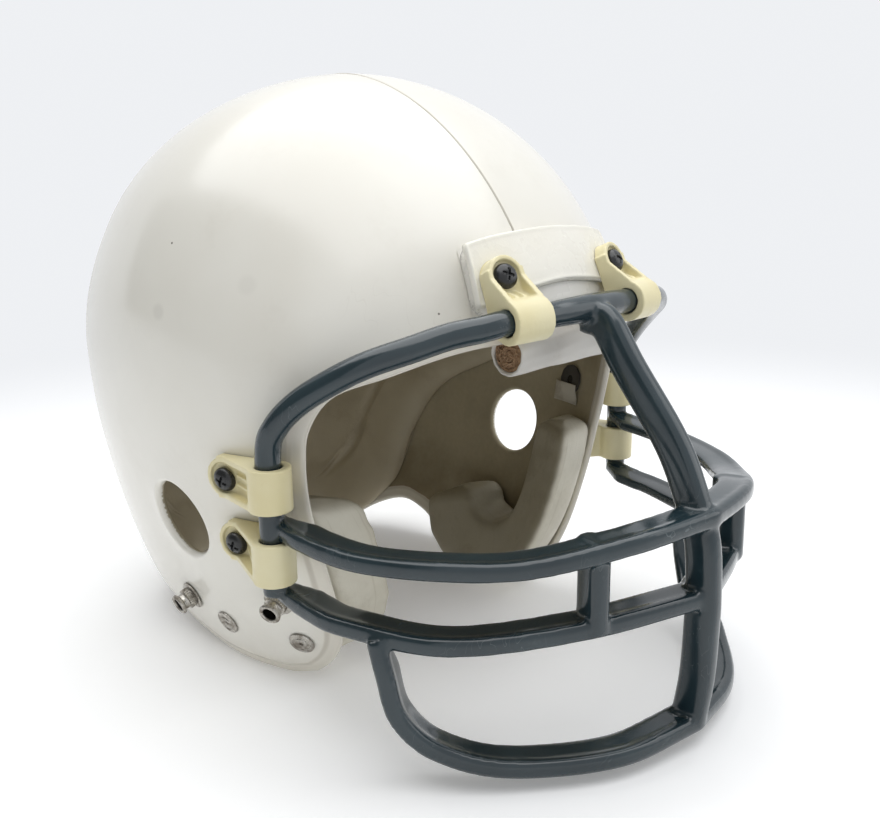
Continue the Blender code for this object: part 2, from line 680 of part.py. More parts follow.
def build_pad(word, side):
    """A J-shaped jaw pad as a soft cushion, with its origin between its two snaps."""
    path = curve_through(PAD_PATH_SHARES, PAD_STEP_SHARE)
    stations = np.linspace(0, 1, len(PAD_HALF_WIDTHS))
    widths = np.interp(np.linspace(0, 1, len(path)), stations, PAD_HALF_WIDTHS)
    shape = bmesh.new()
    rings = []
    for k, (place, wide) in enumerate(zip(path * (SHELL_LENGTH, SHELL_HEIGHT), widths)):
        run = (path[min(k + 1, len(path) - 1)] - path[max(k - 1, 0)]) * (SHELL_LENGTH, SHELL_HEIGHT)
        across = np.array((-run[1], run[0])) / np.linalg.norm(run)
        ring = []
        for edge, sink in ((1, 0), (1, 1), (0, 1), (-1, 1), (-1, 0), (0, 0)):
            y, z = place + across * wide * edge
            z = max(z, PAD_FLOOR_GAP)
            wall = side_place((y / SHELL_LENGTH, z / SHELL_HEIGHT), side)
            depth = WALL + PAD_THICK * (sink if edge else sink * PAD_CROWN_SHARE) - (0 if sink else WALL * 2)
            ring.append(shape.verts.new(wall - dome_normal(wall) * depth))
        rings.append(ring)
    for ring, following in zip(rings, rings[1:]):
        for k in range(6):
            after = (k + 1) % 6
            shape.faces.new((ring[k], ring[after], following[after], following[k]))
    for ring in (rings[0], rings[-1]):
        shape.faces.new((ring[0], ring[1], ring[2], ring[5]))
        shape.faces.new((ring[5], ring[2], ring[3], ring[4]))
    middle = Vector(np.mean([side_place(shares, side) for shares in PAD_SNAP_SHARES.values()], axis=0))
    bmesh.ops.translate(shape, vec=-middle, verts=shape.verts)
    pad = mesh_object(f"{word}_jaw_pad", shape)
    pad.location = middle
    soft = pad.modifiers.new("soft", "SUBSURF")
    soft.levels = 1
    soft.render_levels = 1
    return pad


def build_post(word, shares, side, shell):
    """A chin strap post: a flanged tube outside the shell, held by a screw from inside."""
    place = side_place(shares, side)
    seat = frame_at(place, dome_normal(place))
    top = POST_FLANGE_THICK + POST_HEIGHT
    collar = POST_HEIGHT * POST_COLLAR_SHARE
    flange = POST_FLANGE_THICK
    post = [
        (POST_BORE_RADIUS, top), (POST_TUBE_RADIUS, top), (POST_TUBE_RADIUS, collar),
        (POST_COLLAR_RADIUS, collar), (POST_COLLAR_RADIUS, flange), (POST_FLANGE_RADIUS, flange),
        (POST_FLANGE_RADIUS, GAP), (POST_BORE_RADIUS, GAP),
    ]
    finish(turned(f"{word}_strap_post", post, seat, closed=True), LOOKS["metal"])
    head = -WALL - NUT_SEAT_GAP
    screw = [
        (0, collar), (POST_SCREW_RADIUS, collar), (POST_SCREW_RADIUS, head), (POST_SCREW_HEAD_RADIUS, head),
        (POST_SCREW_HEAD_RADIUS, head - POST_SCREW_HEAD_THICK), (0, head - POST_SCREW_HEAD_THICK),
    ]
    finish(turned(f"{word}_strap_post_screw", screw, seat), LOOKS["metal"])
    hole = drill(f"{word}_strap_post_hole", POST_SCREW_RADIUS + BORE_CLEARANCE, seat, OVERRUN, OVERRUN)
    combine(shell, hole, "DIFFERENCE")


def build_snap(word, shares, side, shell, pad, axis):
    """A jaw pad snap: a stud through the shell and a socket in the pad round its ball."""
    place = side_place(shares, side)
    seat = frame_at(place, dome_normal(place))
    ball = -WALL - SNAP_BALL_DEPTH
    turns = [math.radians(turn) for turn in (50, 20, -10, -40, -70)]
    top = GAP + SNAP_FLANGE_THICK
    stud = [(0, top), (SNAP_FLANGE_RADIUS, top), (SNAP_FLANGE_RADIUS, GAP), (SNAP_SHAFT_RADIUS, GAP)]
    stud += [(SNAP_BALL_RADIUS * math.cos(turn), ball + SNAP_BALL_RADIUS * math.sin(turn)) for turn in turns]
    stud += [(0, ball - SNAP_BALL_RADIUS)]
    finish(turned(f"{word}_pad_stud", stud, seat), LOOKS["metal"])
    hole = drill(f"{word}_pad_stud_hole", SNAP_SHAFT_RADIUS + BORE_CLEARANCE, seat, OVERRUN, OVERRUN)
    combine(shell, hole, "DIFFERENCE")
    centre = seat @ Vector((0, 0, ball))
    half = SOCKET_HEIGHT / 2
    cup = frame_at(centre, axis)
    inner, outer = SOCKET_BORE_RADIUS, SOCKET_RADIUS
    socket = [(inner, half), (outer, half), (outer, -half), (inner, -half)]
    finish(turned(f"{word}_pad_socket", socket, cup, closed=True), LOOKS["nut"])
    cup_hole = drill(f"{word}_pad_socket_seat", outer + GAP, cup, half + GAP, OVERRUN)
    combine(pad, cup_hole, "DIFFERENCE")


def relieve(pad, name, place, radius, axis):
    """A pocket in the back of a pad for what stands out of the shell's inner face there."""
    back = WALL + NUT_SEAT_GAP + NUT_FLANGE_THICK + RELIEF_CLEARANCE
    combine(pad, drill(name, radius + RELIEF_CLEARANCE, frame_at(place, axis), back, OVERRUN), "DIFFERENCE")


def build_guard(look):
    """The face guard in one moulding: brow bar, two cross bars, chin loop, centre ridge and two stubs."""
    brow = curve_through([guard_place(shares) for shares in BROW_BAR_SHARES], PATH_STEP)
    guard = loft("facemask", both_sides(brow), [round_section(BROW_BAR_RADIUS)] * (2 * len(brow) - 1))
    paths = {"upper_bar": UPPER_BAR_SHARES, "lower_bar": LOWER_BAR_SHARES, "chin_loop": CHIN_LOOP_SHARES}
    for word, shares in paths.items():
        half = curve_through([guard_place(place) for place in shares], PATH_STEP)
        run = np.concatenate([[0], np.cumsum(np.linalg.norm(np.diff(half, axis=0), axis=1))])
        depths = BAR_END_DEPTH + (BAR_DEPTH - BAR_END_DEPTH) * np.clip(run / END_TAPER, 0, 1)
        sections = [bar_section(depth) for depth in (*depths, *depths[-2::-1])]
        combine(guard, hidden(loft(word, both_sides(half), sections)), "UNION")
    ridge = curve_through([guard_place(place) for place in RIDGE_SHARES], PATH_STEP)
    combine(guard, hidden(loft("centre_ridge", ridge, [ridge_section()] * len(ridge), False)), "UNION")
    for side, word in ((-1, "right"), (1, "left")):
        stub = np.array([guard_place(place, side) for place in STUB_SHARES])
        combine(guard, hidden(loft(f"{word}_stub", stub, [ridge_section()] * 2)), "UNION")
    return finish(guard, look)


clear_scene()
LOOKS = {
    "shell": material("ivory_gloss", (0.86, 0.84, 0.76), 0.25),
    "clamp": material("ivory_nylon", (0.86, 0.80, 0.56), 0.35),
    "guard": material("slate_nylon", (0.06, 0.10, 0.12), 0.35),
    "screw": material("black_steel", (0.01, 0.01, 0.01), 0.35),
    "nut": material("dark_steel", (0.04, 0.04, 0.04), 0.6, 0.6),
    "metal": material("nickel", (0.55, 0.53, 0.50), 0.3, 1.0),
    "bumper": material("white_bumper", (0.85, 0.84, 0.78), 0.3),
    "plate": material("white_plate", (0.88, 0.86, 0.78), 0.3),
    "vinyl": material("white_vinyl", (0.72, 0.70, 0.64), 0.5),
    "foam": material("brown_foam", (0.30, 0.19, 0.11), 0.9),
}

shell = build_shell(LOOKS["shell"])
bumper, plate = build_brow(LOOKS)
build_roll(LOOKS)
liner = build_liner(LOOKS["vinyl"])
build_guard(LOOKS["guard"])

for side, word in ((-1, "right"), (1, "left")):
    axis = pad_axis(side)
    pad = build_pad(word, side)
    combine(pad, hidden(dome(f"{word}_jaw_pad_back", -WALL - GAP)), "INTERSECT")
    for end, shares in PAD_SNAP_SHARES.items():
        build_snap(f"{word}_{end}", shares, side, shell, pad, axis)
    for end, shares in STRAP_POST_SHARES.items():
        build_post(f"{word}_{end}", shares, side, shell)
        relieve(pad, f"{word}_{end}_post_pocket", side_place(shares, side), POST_SCREW_HEAD_RADIUS, axis)
    for level_word, shares in SIDE_SCREW_SHARES.items():
        seat = side_place(shares, side)
        bar = guard_place((*BROW_BAR_SHARES[1][:2], shares[1]), side)
        build_clamp(f"{word}_{level_word}_clamp", bar, (0, 0, 1), seat, LOOKS, shell)
        relieve(pad, f"{word}_{level_word}_nut_pocket", seat, NUT_FLANGE_RADIUS, axis)
    finish(pad, LOOKS["vinyl"])
    loop = [guard_place(BROW_BAR_SHARES[k], side) for k in (10, 11, 12)]
    top_seat = front_place(*TOP_SCREW_SHARES, side)
    build_clamp(f"{word}_top_clamp", loop[1], loop[2] - loop[0], top_seat, LOOKS, shell, (bumper, plate))
    relieve(liner, f"{word}_top_nut_pocket", top_seat, NUT_FLANGE_RADIUS, dome_normal(top_seat))
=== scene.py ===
# %% [markdown]
# # An American football helmet, dressed over its CAD frame
#
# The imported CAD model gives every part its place. This file gives the parts their looks: smooth
# moulded surfaces worked out with numpy, and materials made of nodes. The wearer faces -Y, +X is
# the wearer's left, lengths are metres and z is 0 on the floor.

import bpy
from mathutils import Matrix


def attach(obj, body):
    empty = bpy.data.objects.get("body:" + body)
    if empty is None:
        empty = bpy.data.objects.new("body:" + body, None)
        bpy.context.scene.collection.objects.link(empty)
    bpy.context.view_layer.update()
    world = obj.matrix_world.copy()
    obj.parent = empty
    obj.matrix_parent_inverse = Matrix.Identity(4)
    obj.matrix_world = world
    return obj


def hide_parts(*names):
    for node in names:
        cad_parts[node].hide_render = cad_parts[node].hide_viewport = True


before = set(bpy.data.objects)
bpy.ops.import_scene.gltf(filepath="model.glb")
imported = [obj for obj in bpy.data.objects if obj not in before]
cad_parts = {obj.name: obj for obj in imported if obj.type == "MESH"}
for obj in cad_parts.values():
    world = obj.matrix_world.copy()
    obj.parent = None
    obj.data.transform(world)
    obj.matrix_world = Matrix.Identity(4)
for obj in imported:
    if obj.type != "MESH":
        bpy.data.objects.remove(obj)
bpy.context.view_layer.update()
print(len(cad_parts), "CAD parts")

# %% Libraries
import math

import bmesh
import bpy
import numpy as np
from mathutils import Matrix, Vector

MM = 0.001

# %% [markdown]
# ## The camera
#
# The photograph was taken from the wearer's front right, a little above the brow. A camera can be
# turned by eye, but its place, yaw, pitch and roll were worked out from pairs of matching left and
# right points on the helmet, because then every piece lands where the photograph shows it.

# %% Camera
CAMERA_PLACE = np.array((-0.3079, -0.3410, 0.2251))
YAW, PITCH, ROLL = math.radians(44.31), math.radians(14.54), math.radians(-0.94)
LENS = 40.63


def camera_axes(yaw, pitch, roll):
    """Right, up and forward of a camera: turned from +Y by yaw, dipped by pitch, then rolled."""
    level_forward = np.array((math.sin(yaw), math.cos(yaw), 0.0))
    forward = level_forward * math.cos(pitch) - (0, 0, math.sin(pitch))
    level_right = np.array((math.cos(yaw), -math.sin(yaw), 0.0))
    level_up = np.cross(level_right, forward)
    right = math.cos(roll) * level_right + math.sin(roll) * level_up
    return right, np.cross(right, forward), forward


right, up, forward = camera_axes(YAW, PITCH, ROLL)
camera = bpy.data.objects.new("camera", bpy.data.cameras.new("camera"))
bpy.context.scene.collection.objects.link(camera)
turn = np.stack([right, up, -forward], axis=1)
camera.matrix_world = Matrix.Translation(CAMERA_PLACE) @ Matrix(turn.tolist()).to_4x4()
camera.data.sensor_width = 36
camera.data.lens = LENS
camera.data.clip_start = 0.01
bpy.context.scene.camera = camera
print("camera looks along", forward.round(3))

# %% [markdown]
# ## The dome that everything follows
#
# The shell is one rounded dome. It could be sculpted, but the bumper, the plate, the liner and the
# clamps' feet all follow it at some depth, so a formula serves them all. A place is on the dome
# where the level is 1. Seen from the side it is an egg with four different quarters, and across
# it the width closes in towards that outline.

# %% Dome formula
HALF_WIDTH, FRONT_REACH, BACK_REACH = 0.1199, 0.1254, 0.1431
TOP_RISE, LOWER_REACH, WIDEST_Y, WIDEST_Z = 0.1234, 0.1953, 0.0283, 0.1367
TAPER_LENGTH = 0.13
WALL = 0.004
SHELL_LENGTH, SHELL_HEIGHT = FRONT_REACH + BACK_REACH, WIDEST_Z + TOP_RISE
BROW_Y = WIDEST_Y - FRONT_REACH
MIDDLE = np.array((0.0, WIDEST_Y, WIDEST_Z))


def dome_section(y, z):
    """How far (y, z) is towards the side outline, the powers that shape it and the half width there."""
    reach = np.where(y < WIDEST_Y, FRONT_REACH, BACK_REACH)
    rise = np.where(z > WIDEST_Z, TOP_RISE, LOWER_REACH)
    power = np.where(
        z > WIDEST_Z, np.where(y < WIDEST_Y, 1.785, 1.875), np.where(y < WIDEST_Y, 1.798, 2.567)
    )
    blend = np.clip((z - WIDEST_Z) / TAPER_LENGTH * 1.3 + 0.4, 0, 1)
    across = 2.347 - 0.401 * blend * blend * (3 - 2 * blend)
    out = (np.abs(y - WIDEST_Y) / reach) ** power + (np.abs(z - WIDEST_Z) / rise) ** power
    back, high = (y - WIDEST_Y) / TAPER_LENGTH, (z - WIDEST_Z) / TAPER_LENGTH
    half = HALF_WIDTH * (1 - 0.0125 * back + 0.1544 * high + 0.0464 * high**2)
    return out, power, across, half


def level(points):
    """1 on the dome, less inside: ((|x| / half width)^a + outline^(a / p))^(1 / a)."""
    out, power, across, half = dome_section(points[..., 1], points[..., 2])
    return ((np.abs(points[..., 0]) / half) ** across + out ** (across / power)) ** (1 / across)


def slope(points):
    """The level's slope at each place, from small steps along x, y and z."""
    steps = np.eye(3) * 1e-4
    return np.stack([(level(points + step) - level(points - step)) / 2e-4 for step in steps], axis=-1)


def unit(vectors):
    return vectors / np.maximum(np.linalg.norm(vectors, axis=-1, keepdims=True), 1e-12)


def dome_normal(points):
    return unit(slope(points))


def height_over_dome(points):
    """About how far places lie outside the dome: (level - 1) / steepness."""
    return (level(points) - 1) / np.linalg.norm(slope(points), axis=-1)


def on_dome(directions):
    """Where rays from the dome's middle meet it: the reach is divided by the level until it fits."""
    reach = np.full(directions.shape[:-1], HALF_WIDTH)
    for _ in range(50):
        reach = reach / level(MIDDLE + directions * reach[..., None])
    return MIDDLE + directions * reach[..., None]


def side_place(y, z):
    """The place on the dome's right-hand side at (y, z)."""
    out, power, across, half = dome_section(y, z)
    x = -half * (1 - np.minimum(out, 1) ** (across / power)) ** (1 / across)
    return np.stack([x, y, z], axis=-1)


def front_place(x, z):
    """The place on the brow at (x, z), found by halving the range of y."""
    near, far = np.full(np.shape(x), BROW_Y - WALL), np.full(np.shape(x), WIDEST_Y)
    for _ in range(40):
        y = (near + far) / 2
        outside = level(np.stack([x, y, z], axis=-1)) > 1
        near, far = np.where(outside, y, near), np.where(outside, far, y)
    return np.stack([x, y, z], axis=-1)


def shell_place(shares, side=-1):
    """The place on the shell at shares of its length and height, on side -1 or 1."""
    place = side_place(BROW_Y + shares[0] * SHELL_LENGTH, shares[1] * SHELL_HEIGHT)
    return place * (-side, 1, 1)


print("crown", on_dome(np.array((0.0, 0.0, 1.0))).round(4))

# %% [markdown]
# ## Tools for curves, grids and pieces
#
# Meshes can be pulled into shape by hand, but then a wrong size means doing it again. Nearly every
# piece here is a grid of places worked out at once with numpy, so a few helpers turn grids into
# meshes, weld their poles and seams, and put them in the scene.

# %% Curves
def smooth_line(points, count=24):
    """A smooth curve through points: the cubic whose slope at each is half its neighbours' gap."""
    points = np.array(points, float)
    ends = np.vstack([2 * points[0] - points[1], points, 2 * points[-1] - points[-2]])
    t = (np.arange(count) / count)[:, None]
    parts = [
        b + 0.5 * t * (c - a) + t**2 * (a - 2.5 * b + 2 * c - 0.5 * d) + 0.5 * t**3 * (3 * b - a - 3 * c + d)
        for a, b, c, d in zip(ends, ends[1:], ends[2:], ends[3:])
    ]
    return np.vstack([*parts, points[-1:]])


def run_along(line):
    """Distance from the start at each point of a line."""
    return np.concatenate([[0], np.cumsum(np.linalg.norm(np.diff(line, axis=0), axis=1))])


def even(line, count):
    """The same line with its points an equal distance apart."""
    run = run_along(line)
    at = np.linspace(0, run[-1], count)
    return np.stack([np.interp(at, run, column) for column in line.T], axis=1)


def mirrored(path):
    """A path from the wearer's right to the middle, carried on to the wearer's left."""
    return np.vstack([path, path[-2::-1] * (-1, 1, 1)])


def rounded(distance, radius):
    """A quarter circle's height share: 0 at an edge, 1 from `radius` inwards."""
    return np.sqrt(1 - (1 - np.clip(distance / radius, 0, 1)) ** 2)


print("a smooth line of", len(smooth_line([(0, 0), (1, 1), (2, 0)])), "points")

# %% Grids to meshes
def grid_faces(rows, columns, wrap_rows=False, wrap_columns=False, first=0):
    """Four-sided faces between neighbouring rows and columns of a grid."""
    i, j = np.meshgrid(
        np.arange(rows if wrap_rows else rows - 1),
        np.arange(columns if wrap_columns else columns - 1),
        indexing="ij",
    )
    below, after = (i + 1) % rows, (j + 1) % columns
    corners = [i * columns + j, i * columns + after, below * columns + after, below * columns + j]
    return first + np.stack(corners, axis=-1).reshape(-1, 4)


def caps(rings, sides):
    """The two end faces of a tube made of so many rings."""
    return [list(range(sides))[::-1], list(range((rings - 1) * sides, rings * sides))]


def mesh_of(name, points, faces, weld=1e-6, marks=None):
    """A mesh with doubles merged and its faces pointing out. `marks` are named values at its points."""
    mesh = bpy.data.meshes.new(name)
    faces = faces.tolist() if isinstance(faces, np.ndarray) else faces
    mesh.from_pydata(np.reshape(points, (-1, 3)).tolist(), [], faces)
    for word, values in (marks or {}).items():
        mesh.attributes.new(word, "FLOAT", "POINT").data.foreach_set("value", values)
    shape = bmesh.new()
    shape.from_mesh(mesh)
    bmesh.ops.remove_doubles(shape, verts=shape.verts, dist=weld)
    bmesh.ops.recalc_face_normals(shape, faces=shape.faces)
    shape.to_mesh(mesh)
    shape.free()
    return mesh


def piece(name, mesh, look, body="helmet", replaces=(), crease=None):
    """Puts a mesh in the scene as a named piece that rides on a body, in place of CAD nodes."""
    thing = bpy.data.objects.new(name, mesh)
    bpy.context.scene.collection.objects.link(thing)
    mesh.materials.clear()
    mesh.materials.append(look)
    mesh.shade_smooth()
    if crease:
        mesh.set_sharp_from_angle(angle=math.radians(crease))
    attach(thing, body)
    if replaces:
        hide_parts(*replaces)
    print(name, len(mesh.polygons), "faces")
    return thing


print("faces of a 3 by 3 grid", len(grid_faces(3, 3)))

# %% Solids and mouldings
def solid(outline, low, high, axes):
    """A flat outline made solid between two depths: axes give its across, up and depth directions."""
    n = len(outline)
    flat = np.array(outline, float) @ np.array(axes[:2])
    points = np.vstack([flat + low * axes[2], flat + high * axes[2]])
    ends = [list(range(n)), list(range(2 * n - 1, n - 1, -1))]
    return points, ends + grid_faces(2, n, False, True).tolist()


def ring_solid(centre, low, high, inner, outer, turns, axes):
    """A ring or part of one: a rectangle carried round, with its two ends closed if it isn't whole."""
    whole = math.isclose(turns[-1] - turns[0], math.tau, rel_tol=0.05)
    spokes = np.stack([np.cos(turns), np.sin(turns)], axis=1) @ np.array(axes[:2])
    corners = ((outer, low), (outer, high), (inner, high), (inner, low))
    points = np.stack([centre + r * spokes + depth * axes[2] for r, depth in corners], axis=1)
    faces = grid_faces(len(turns), 4, whole, True).tolist()
    if not whole:
        last = 4 * (len(turns) - 1)
        faces += [[3, 2, 1, 0], [last, last + 1, last + 2, last + 3]]
    return points.reshape(-1, 3), faces


def melted(name, solids, voxel, smoothing, fit=None):
    """Overlapping closed solids as one moulding: voxels, smoothing, then `fit` moves its places."""
    points, faces, first = [], [], 0
    for some_points, some_faces in solids:
        points.append(some_points)
        faces += [[first + k for k in face] for face in some_faces]
        first += len(some_points)
    block = bpy.data.objects.new(name, mesh_of(name, np.vstack(points), faces, 1e-9))
    bpy.context.scene.collection.objects.link(block)
    remesh = block.modifiers.new("voxels", "REMESH")
    remesh.mode = "VOXEL"
    remesh.voxel_size = voxel
    soften = block.modifiers.new("soften", "SMOOTH")
    soften.factor = 0.5
    soften.iterations = smoothing
    bpy.context.view_layer.update()
    mesh = bpy.data.meshes.new_from_object(block.evaluated_get(bpy.context.evaluated_depsgraph_get()))
    bpy.data.objects.remove(block)
    if fit:
        places = np.empty(len(mesh.vertices) * 3)
        mesh.vertices.foreach_get("co", places)
        mesh.vertices.foreach_set("co", fit(places.reshape(-1, 3)).ravel())
    return mesh


# %% [markdown]
# ## Node tools
#
# A material is a small program of nodes. It could be wired by hand in the shader editor, but a
# row of short lines is easier to read back and to change. Each helper here adds one node. Effects
# that several finishes share are node groups with named inputs, placed with values of their own.

# %% Node helpers
def feed(tree, socket, value):
    """Links a socket to another one, or sets its own value."""
    if isinstance(value, bpy.types.NodeSocket):
        tree.links.new(value, socket)
    else:
        socket.default_value = value


def add(tree, kind, *links, **values):
    """Adds a node. `links` are (input, socket or value) pairs, `values` the node's own settings."""
    node = tree.nodes.new("ShaderNode" + kind)
    for name, value in values.items():
        setattr(node, name, value)
    for key, value in links:
        feed(tree, node.inputs[key], value)
    return node


def maths(tree, operation, first, second=0.0, clamp=False):
    return add(tree, "Math", (0, first), (1, second), operation=operation, use_clamp=clamp).outputs[0]


def plus(tree, first, second):
    return maths(tree, "ADD", first, second)


def times(tree, first, second):
    return maths(tree, "MULTIPLY", first, second)


def rest(tree, share):
    return maths(tree, "SUBTRACT", 1.0, share)


def between(tree, value, low, high, start=0.0, end=1.0):
    """The value's place between low and high, eased, as a number from start to end."""
    links = ("Value", value), ("From Min", low), ("From Max", high), ("To Min", start), ("To Max", end)
    return add(tree, "MapRange", *links, interpolation_type="SMOOTHSTEP").outputs["Result"]


def blended(tree, share, first, second, mode="MIX"):
    """Two colours mixed by a share from 0 to 1."""
    first, second = ((*c, 1) if isinstance(c, tuple) else c for c in (first, second))
    links = (0, share), (6, first), (7, second)
    return add(tree, "Mix", *links, data_type="RGBA", blend_type=mode).outputs[2]


def layered(tree, colour, *layers):
    """A colour with others laid over it. Each layer is a mask, its strength and its colour."""
    for mask, strength, over in layers:
        colour = blended(tree, times(tree, mask, strength), colour, over)
    return colour


def noise(tree, vector, scale, detail=3.0, roughness=0.5):
    links = ("Vector", vector), ("Scale", scale), ("Detail", detail), ("Roughness", roughness)
    return add(tree, "TexNoise", *links).outputs["Fac"]


def cells(tree, vector, scale):
    return add(tree, "TexVoronoi", ("Vector", vector), ("Scale", scale)).outputs["Distance"]


def mark(tree, word):
    """A named value that build functions put at a mesh's points."""
    return add(tree, "Attribute", attribute_name=word).outputs["Fac"]


def bump(tree, height, strength, distance):
    links = ("Height", height), ("Strength", strength), ("Distance", distance)
    return add(tree, "Bump", *links).outputs["Normal"]


# %% Groups and materials
def new_group(name, output, **inputs):
    """An empty node group with one output. An input given as None is a vector, any other a value."""
    group = bpy.data.node_groups.new(name, "ShaderNodeTree")
    for word, value in inputs.items():
        kind = "NodeSocketVector" if value is None else "NodeSocketFloat"
        socket = group.interface.new_socket(word, in_out="INPUT", socket_type=kind)
        if value is not None:
            socket.default_value = value
    group.interface.new_socket(output, in_out="OUTPUT", socket_type="NodeSocketFloat")
    start, end = group.nodes.new("NodeGroupInput"), group.nodes.new("NodeGroupOutput")
    return group, start.outputs, end.inputs[output]


def use(tree, group, **values):
    """Places a node group in a tree and gives its output."""
    node = tree.nodes.new("ShaderNodeGroup")
    node.node_tree = group
    for key, value in values.items():
        feed(tree, node.inputs[key], value)
    return node.outputs[0]


def new_look(name, roughness, **constants):
    """A material with its tree, its Object coordinates and its Principled shader's inputs."""
    look = bpy.data.materials.new(name)
    look.use_nodes = True
    tree = look.node_tree
    shader = tree.nodes["Principled BSDF"]
    for key, value in {"Roughness": roughness, **constants}.items():
        shader.inputs[key.replace("_", " ")].default_value = value
    place = tree.nodes.new("ShaderNodeTexCoord").outputs["Object"]
    return look, tree, place, shader.inputs


def wire(tree, shader, colour, rough, normal):
    """Joins a finish's colour, roughness and normal to its shader."""
    for key, value in (("Base Color", colour), ("Roughness", rough), ("Normal", normal)):
        tree.links.new(value, shader[key])


# %% Shared effects
def build_patches():
    """Broad patches: a noise eased between its start and end level, as a number from first to last."""
    group, given, out = new_group(
        "patches", "Value", Place=None, Scale=30.0, Detail=4.0, Start=0.3, End=0.7, First=0.0, Last=1.0
    )
    cloud = noise(group, given["Place"], given["Scale"], given["Detail"])
    value = between(group, cloud, given["Start"], given["End"], given["First"], given["Last"])
    group.links.new(value, out)
    return group


def build_grain():
    """Fine moulded grain: two sizes of noise added, as a height."""
    group, given, out = new_group("moulded_grain", "Height", Place=None, Scale=900.0, Coarse=0.5)
    fine = noise(group, given["Place"], given["Scale"], 4)
    broad = noise(group, given["Place"], times(group, given["Scale"], 0.12), 2)
    group.links.new(plus(group, fine, times(group, broad, given["Coarse"])), out)
    return group


def build_soiling():
    """Uneven dirt: a broad noise broken up by a fine one, kept above a threshold."""
    group, given, out = new_group("soiling", "Mask", Place=None, Scale=25.0, Amount=0.4)
    broad = noise(group, given["Place"], given["Scale"], 5, 0.62)
    fine = noise(group, given["Place"], times(group, given["Scale"], 9.0), 4, 0.6)
    mixed = plus(group, times(group, broad, 0.75), times(group, fine, 0.25))
    start = maths(group, "SUBTRACT", 0.72, times(group, given["Amount"], 0.4))
    group.links.new(between(group, mixed, start, plus(group, start, 0.16)), out)
    return group


def build_scratches():
    """Hair scratches: the thin middle line of a stretched noise, thinned out by a second noise."""
    group, given, out = new_group("scratches", "Mask", Place=None, Scale=30.0, Width=0.004)
    turn = ("Rotation", (0.4, 0.9, 0.5)), ("Scale", (1, 7, 2))
    turned = add(group, "Mapping", ("Vector", given["Place"]), *turn)
    wave = noise(group, turned.outputs[0], given["Scale"], 1.5)
    line = maths(group, "ABSOLUTE", maths(group, "SUBTRACT", wave, 0.5))
    thin = maths(group, "LESS_THAN", line, given["Width"])
    few = between(group, noise(group, given["Place"], times(group, given["Scale"], 0.7), 2), 0.56, 0.66)
    group.links.new(times(group, thin, few), out)
    return group


def build_spot():
    """A round spot: the distance from its centre, eased from its radius in to its core."""
    group, given, out = new_group("spot", "Mask", Place=None, Centre=None, Radius=0.002, Core=0.001)
    gap = add(group, "VectorMath", (0, given["Place"]), (1, given["Centre"]), operation="DISTANCE")
    group.links.new(between(group, gap.outputs["Value"], given["Radius"], given["Core"]), out)
    return group


def build_skin():
    """Leathery vinyl: fine cells and long folds added, each by its own share, as a height."""
    group, given, out = new_group("vinyl_skin", "Height", Place=None, Folds=0.5, Creasing=0.3, Leather=0.25)
    leather = times(group, cells(group, given["Place"], 1100.0), given["Leather"])
    group.links.new(plus(group, leather, times(group, given["Folds"], given["Creasing"])), out)
    return group


PATCHES, GRAIN, SOILING = build_patches(), build_grain(), build_soiling()
SCRATCHES, SPOT, SKIN = build_scratches(), build_spot(), build_skin()


def patches(tree, place, scale, detail, first=0.0, last=1.0, start=0.3, end=0.7):
    """The patches effect: its value runs from first to last where the noise runs from start to end."""
    levels = {"Start": start, "End": end, "First": first, "Last": last}
    return use(tree, PATCHES, Place=place, Scale=scale, Detail=detail, **levels)


print("effects", [group.name for group in bpy.data.node_groups])

# %% [markdown]
# ## Finishes
#
# The shell is cream plastic that has yellowed a little, glossy outside and painted matt beige
# inside. The clamps are unpainted nylon, the guard is dipped in a slate plastic, the pads are
# cream vinyl and the small metal parts are dull nickel. Photographs could be wrapped round the
# pieces, but colours and roughness worked out from noise have no seams and any size.

# %% Shell finish
SHELL_MARKS = (
    ((-0.1110, 0.0069, 0.1926), 0.0006, 0.95),
    ((-0.0527, -0.0798, 0.1668), 0.0006, 0.90),
    ((-0.1190, 0.0076, 0.1668), 0.0042, 0.10),
    ((-0.1019, -0.0290, 0.1784), 0.0050, 0.05),
)


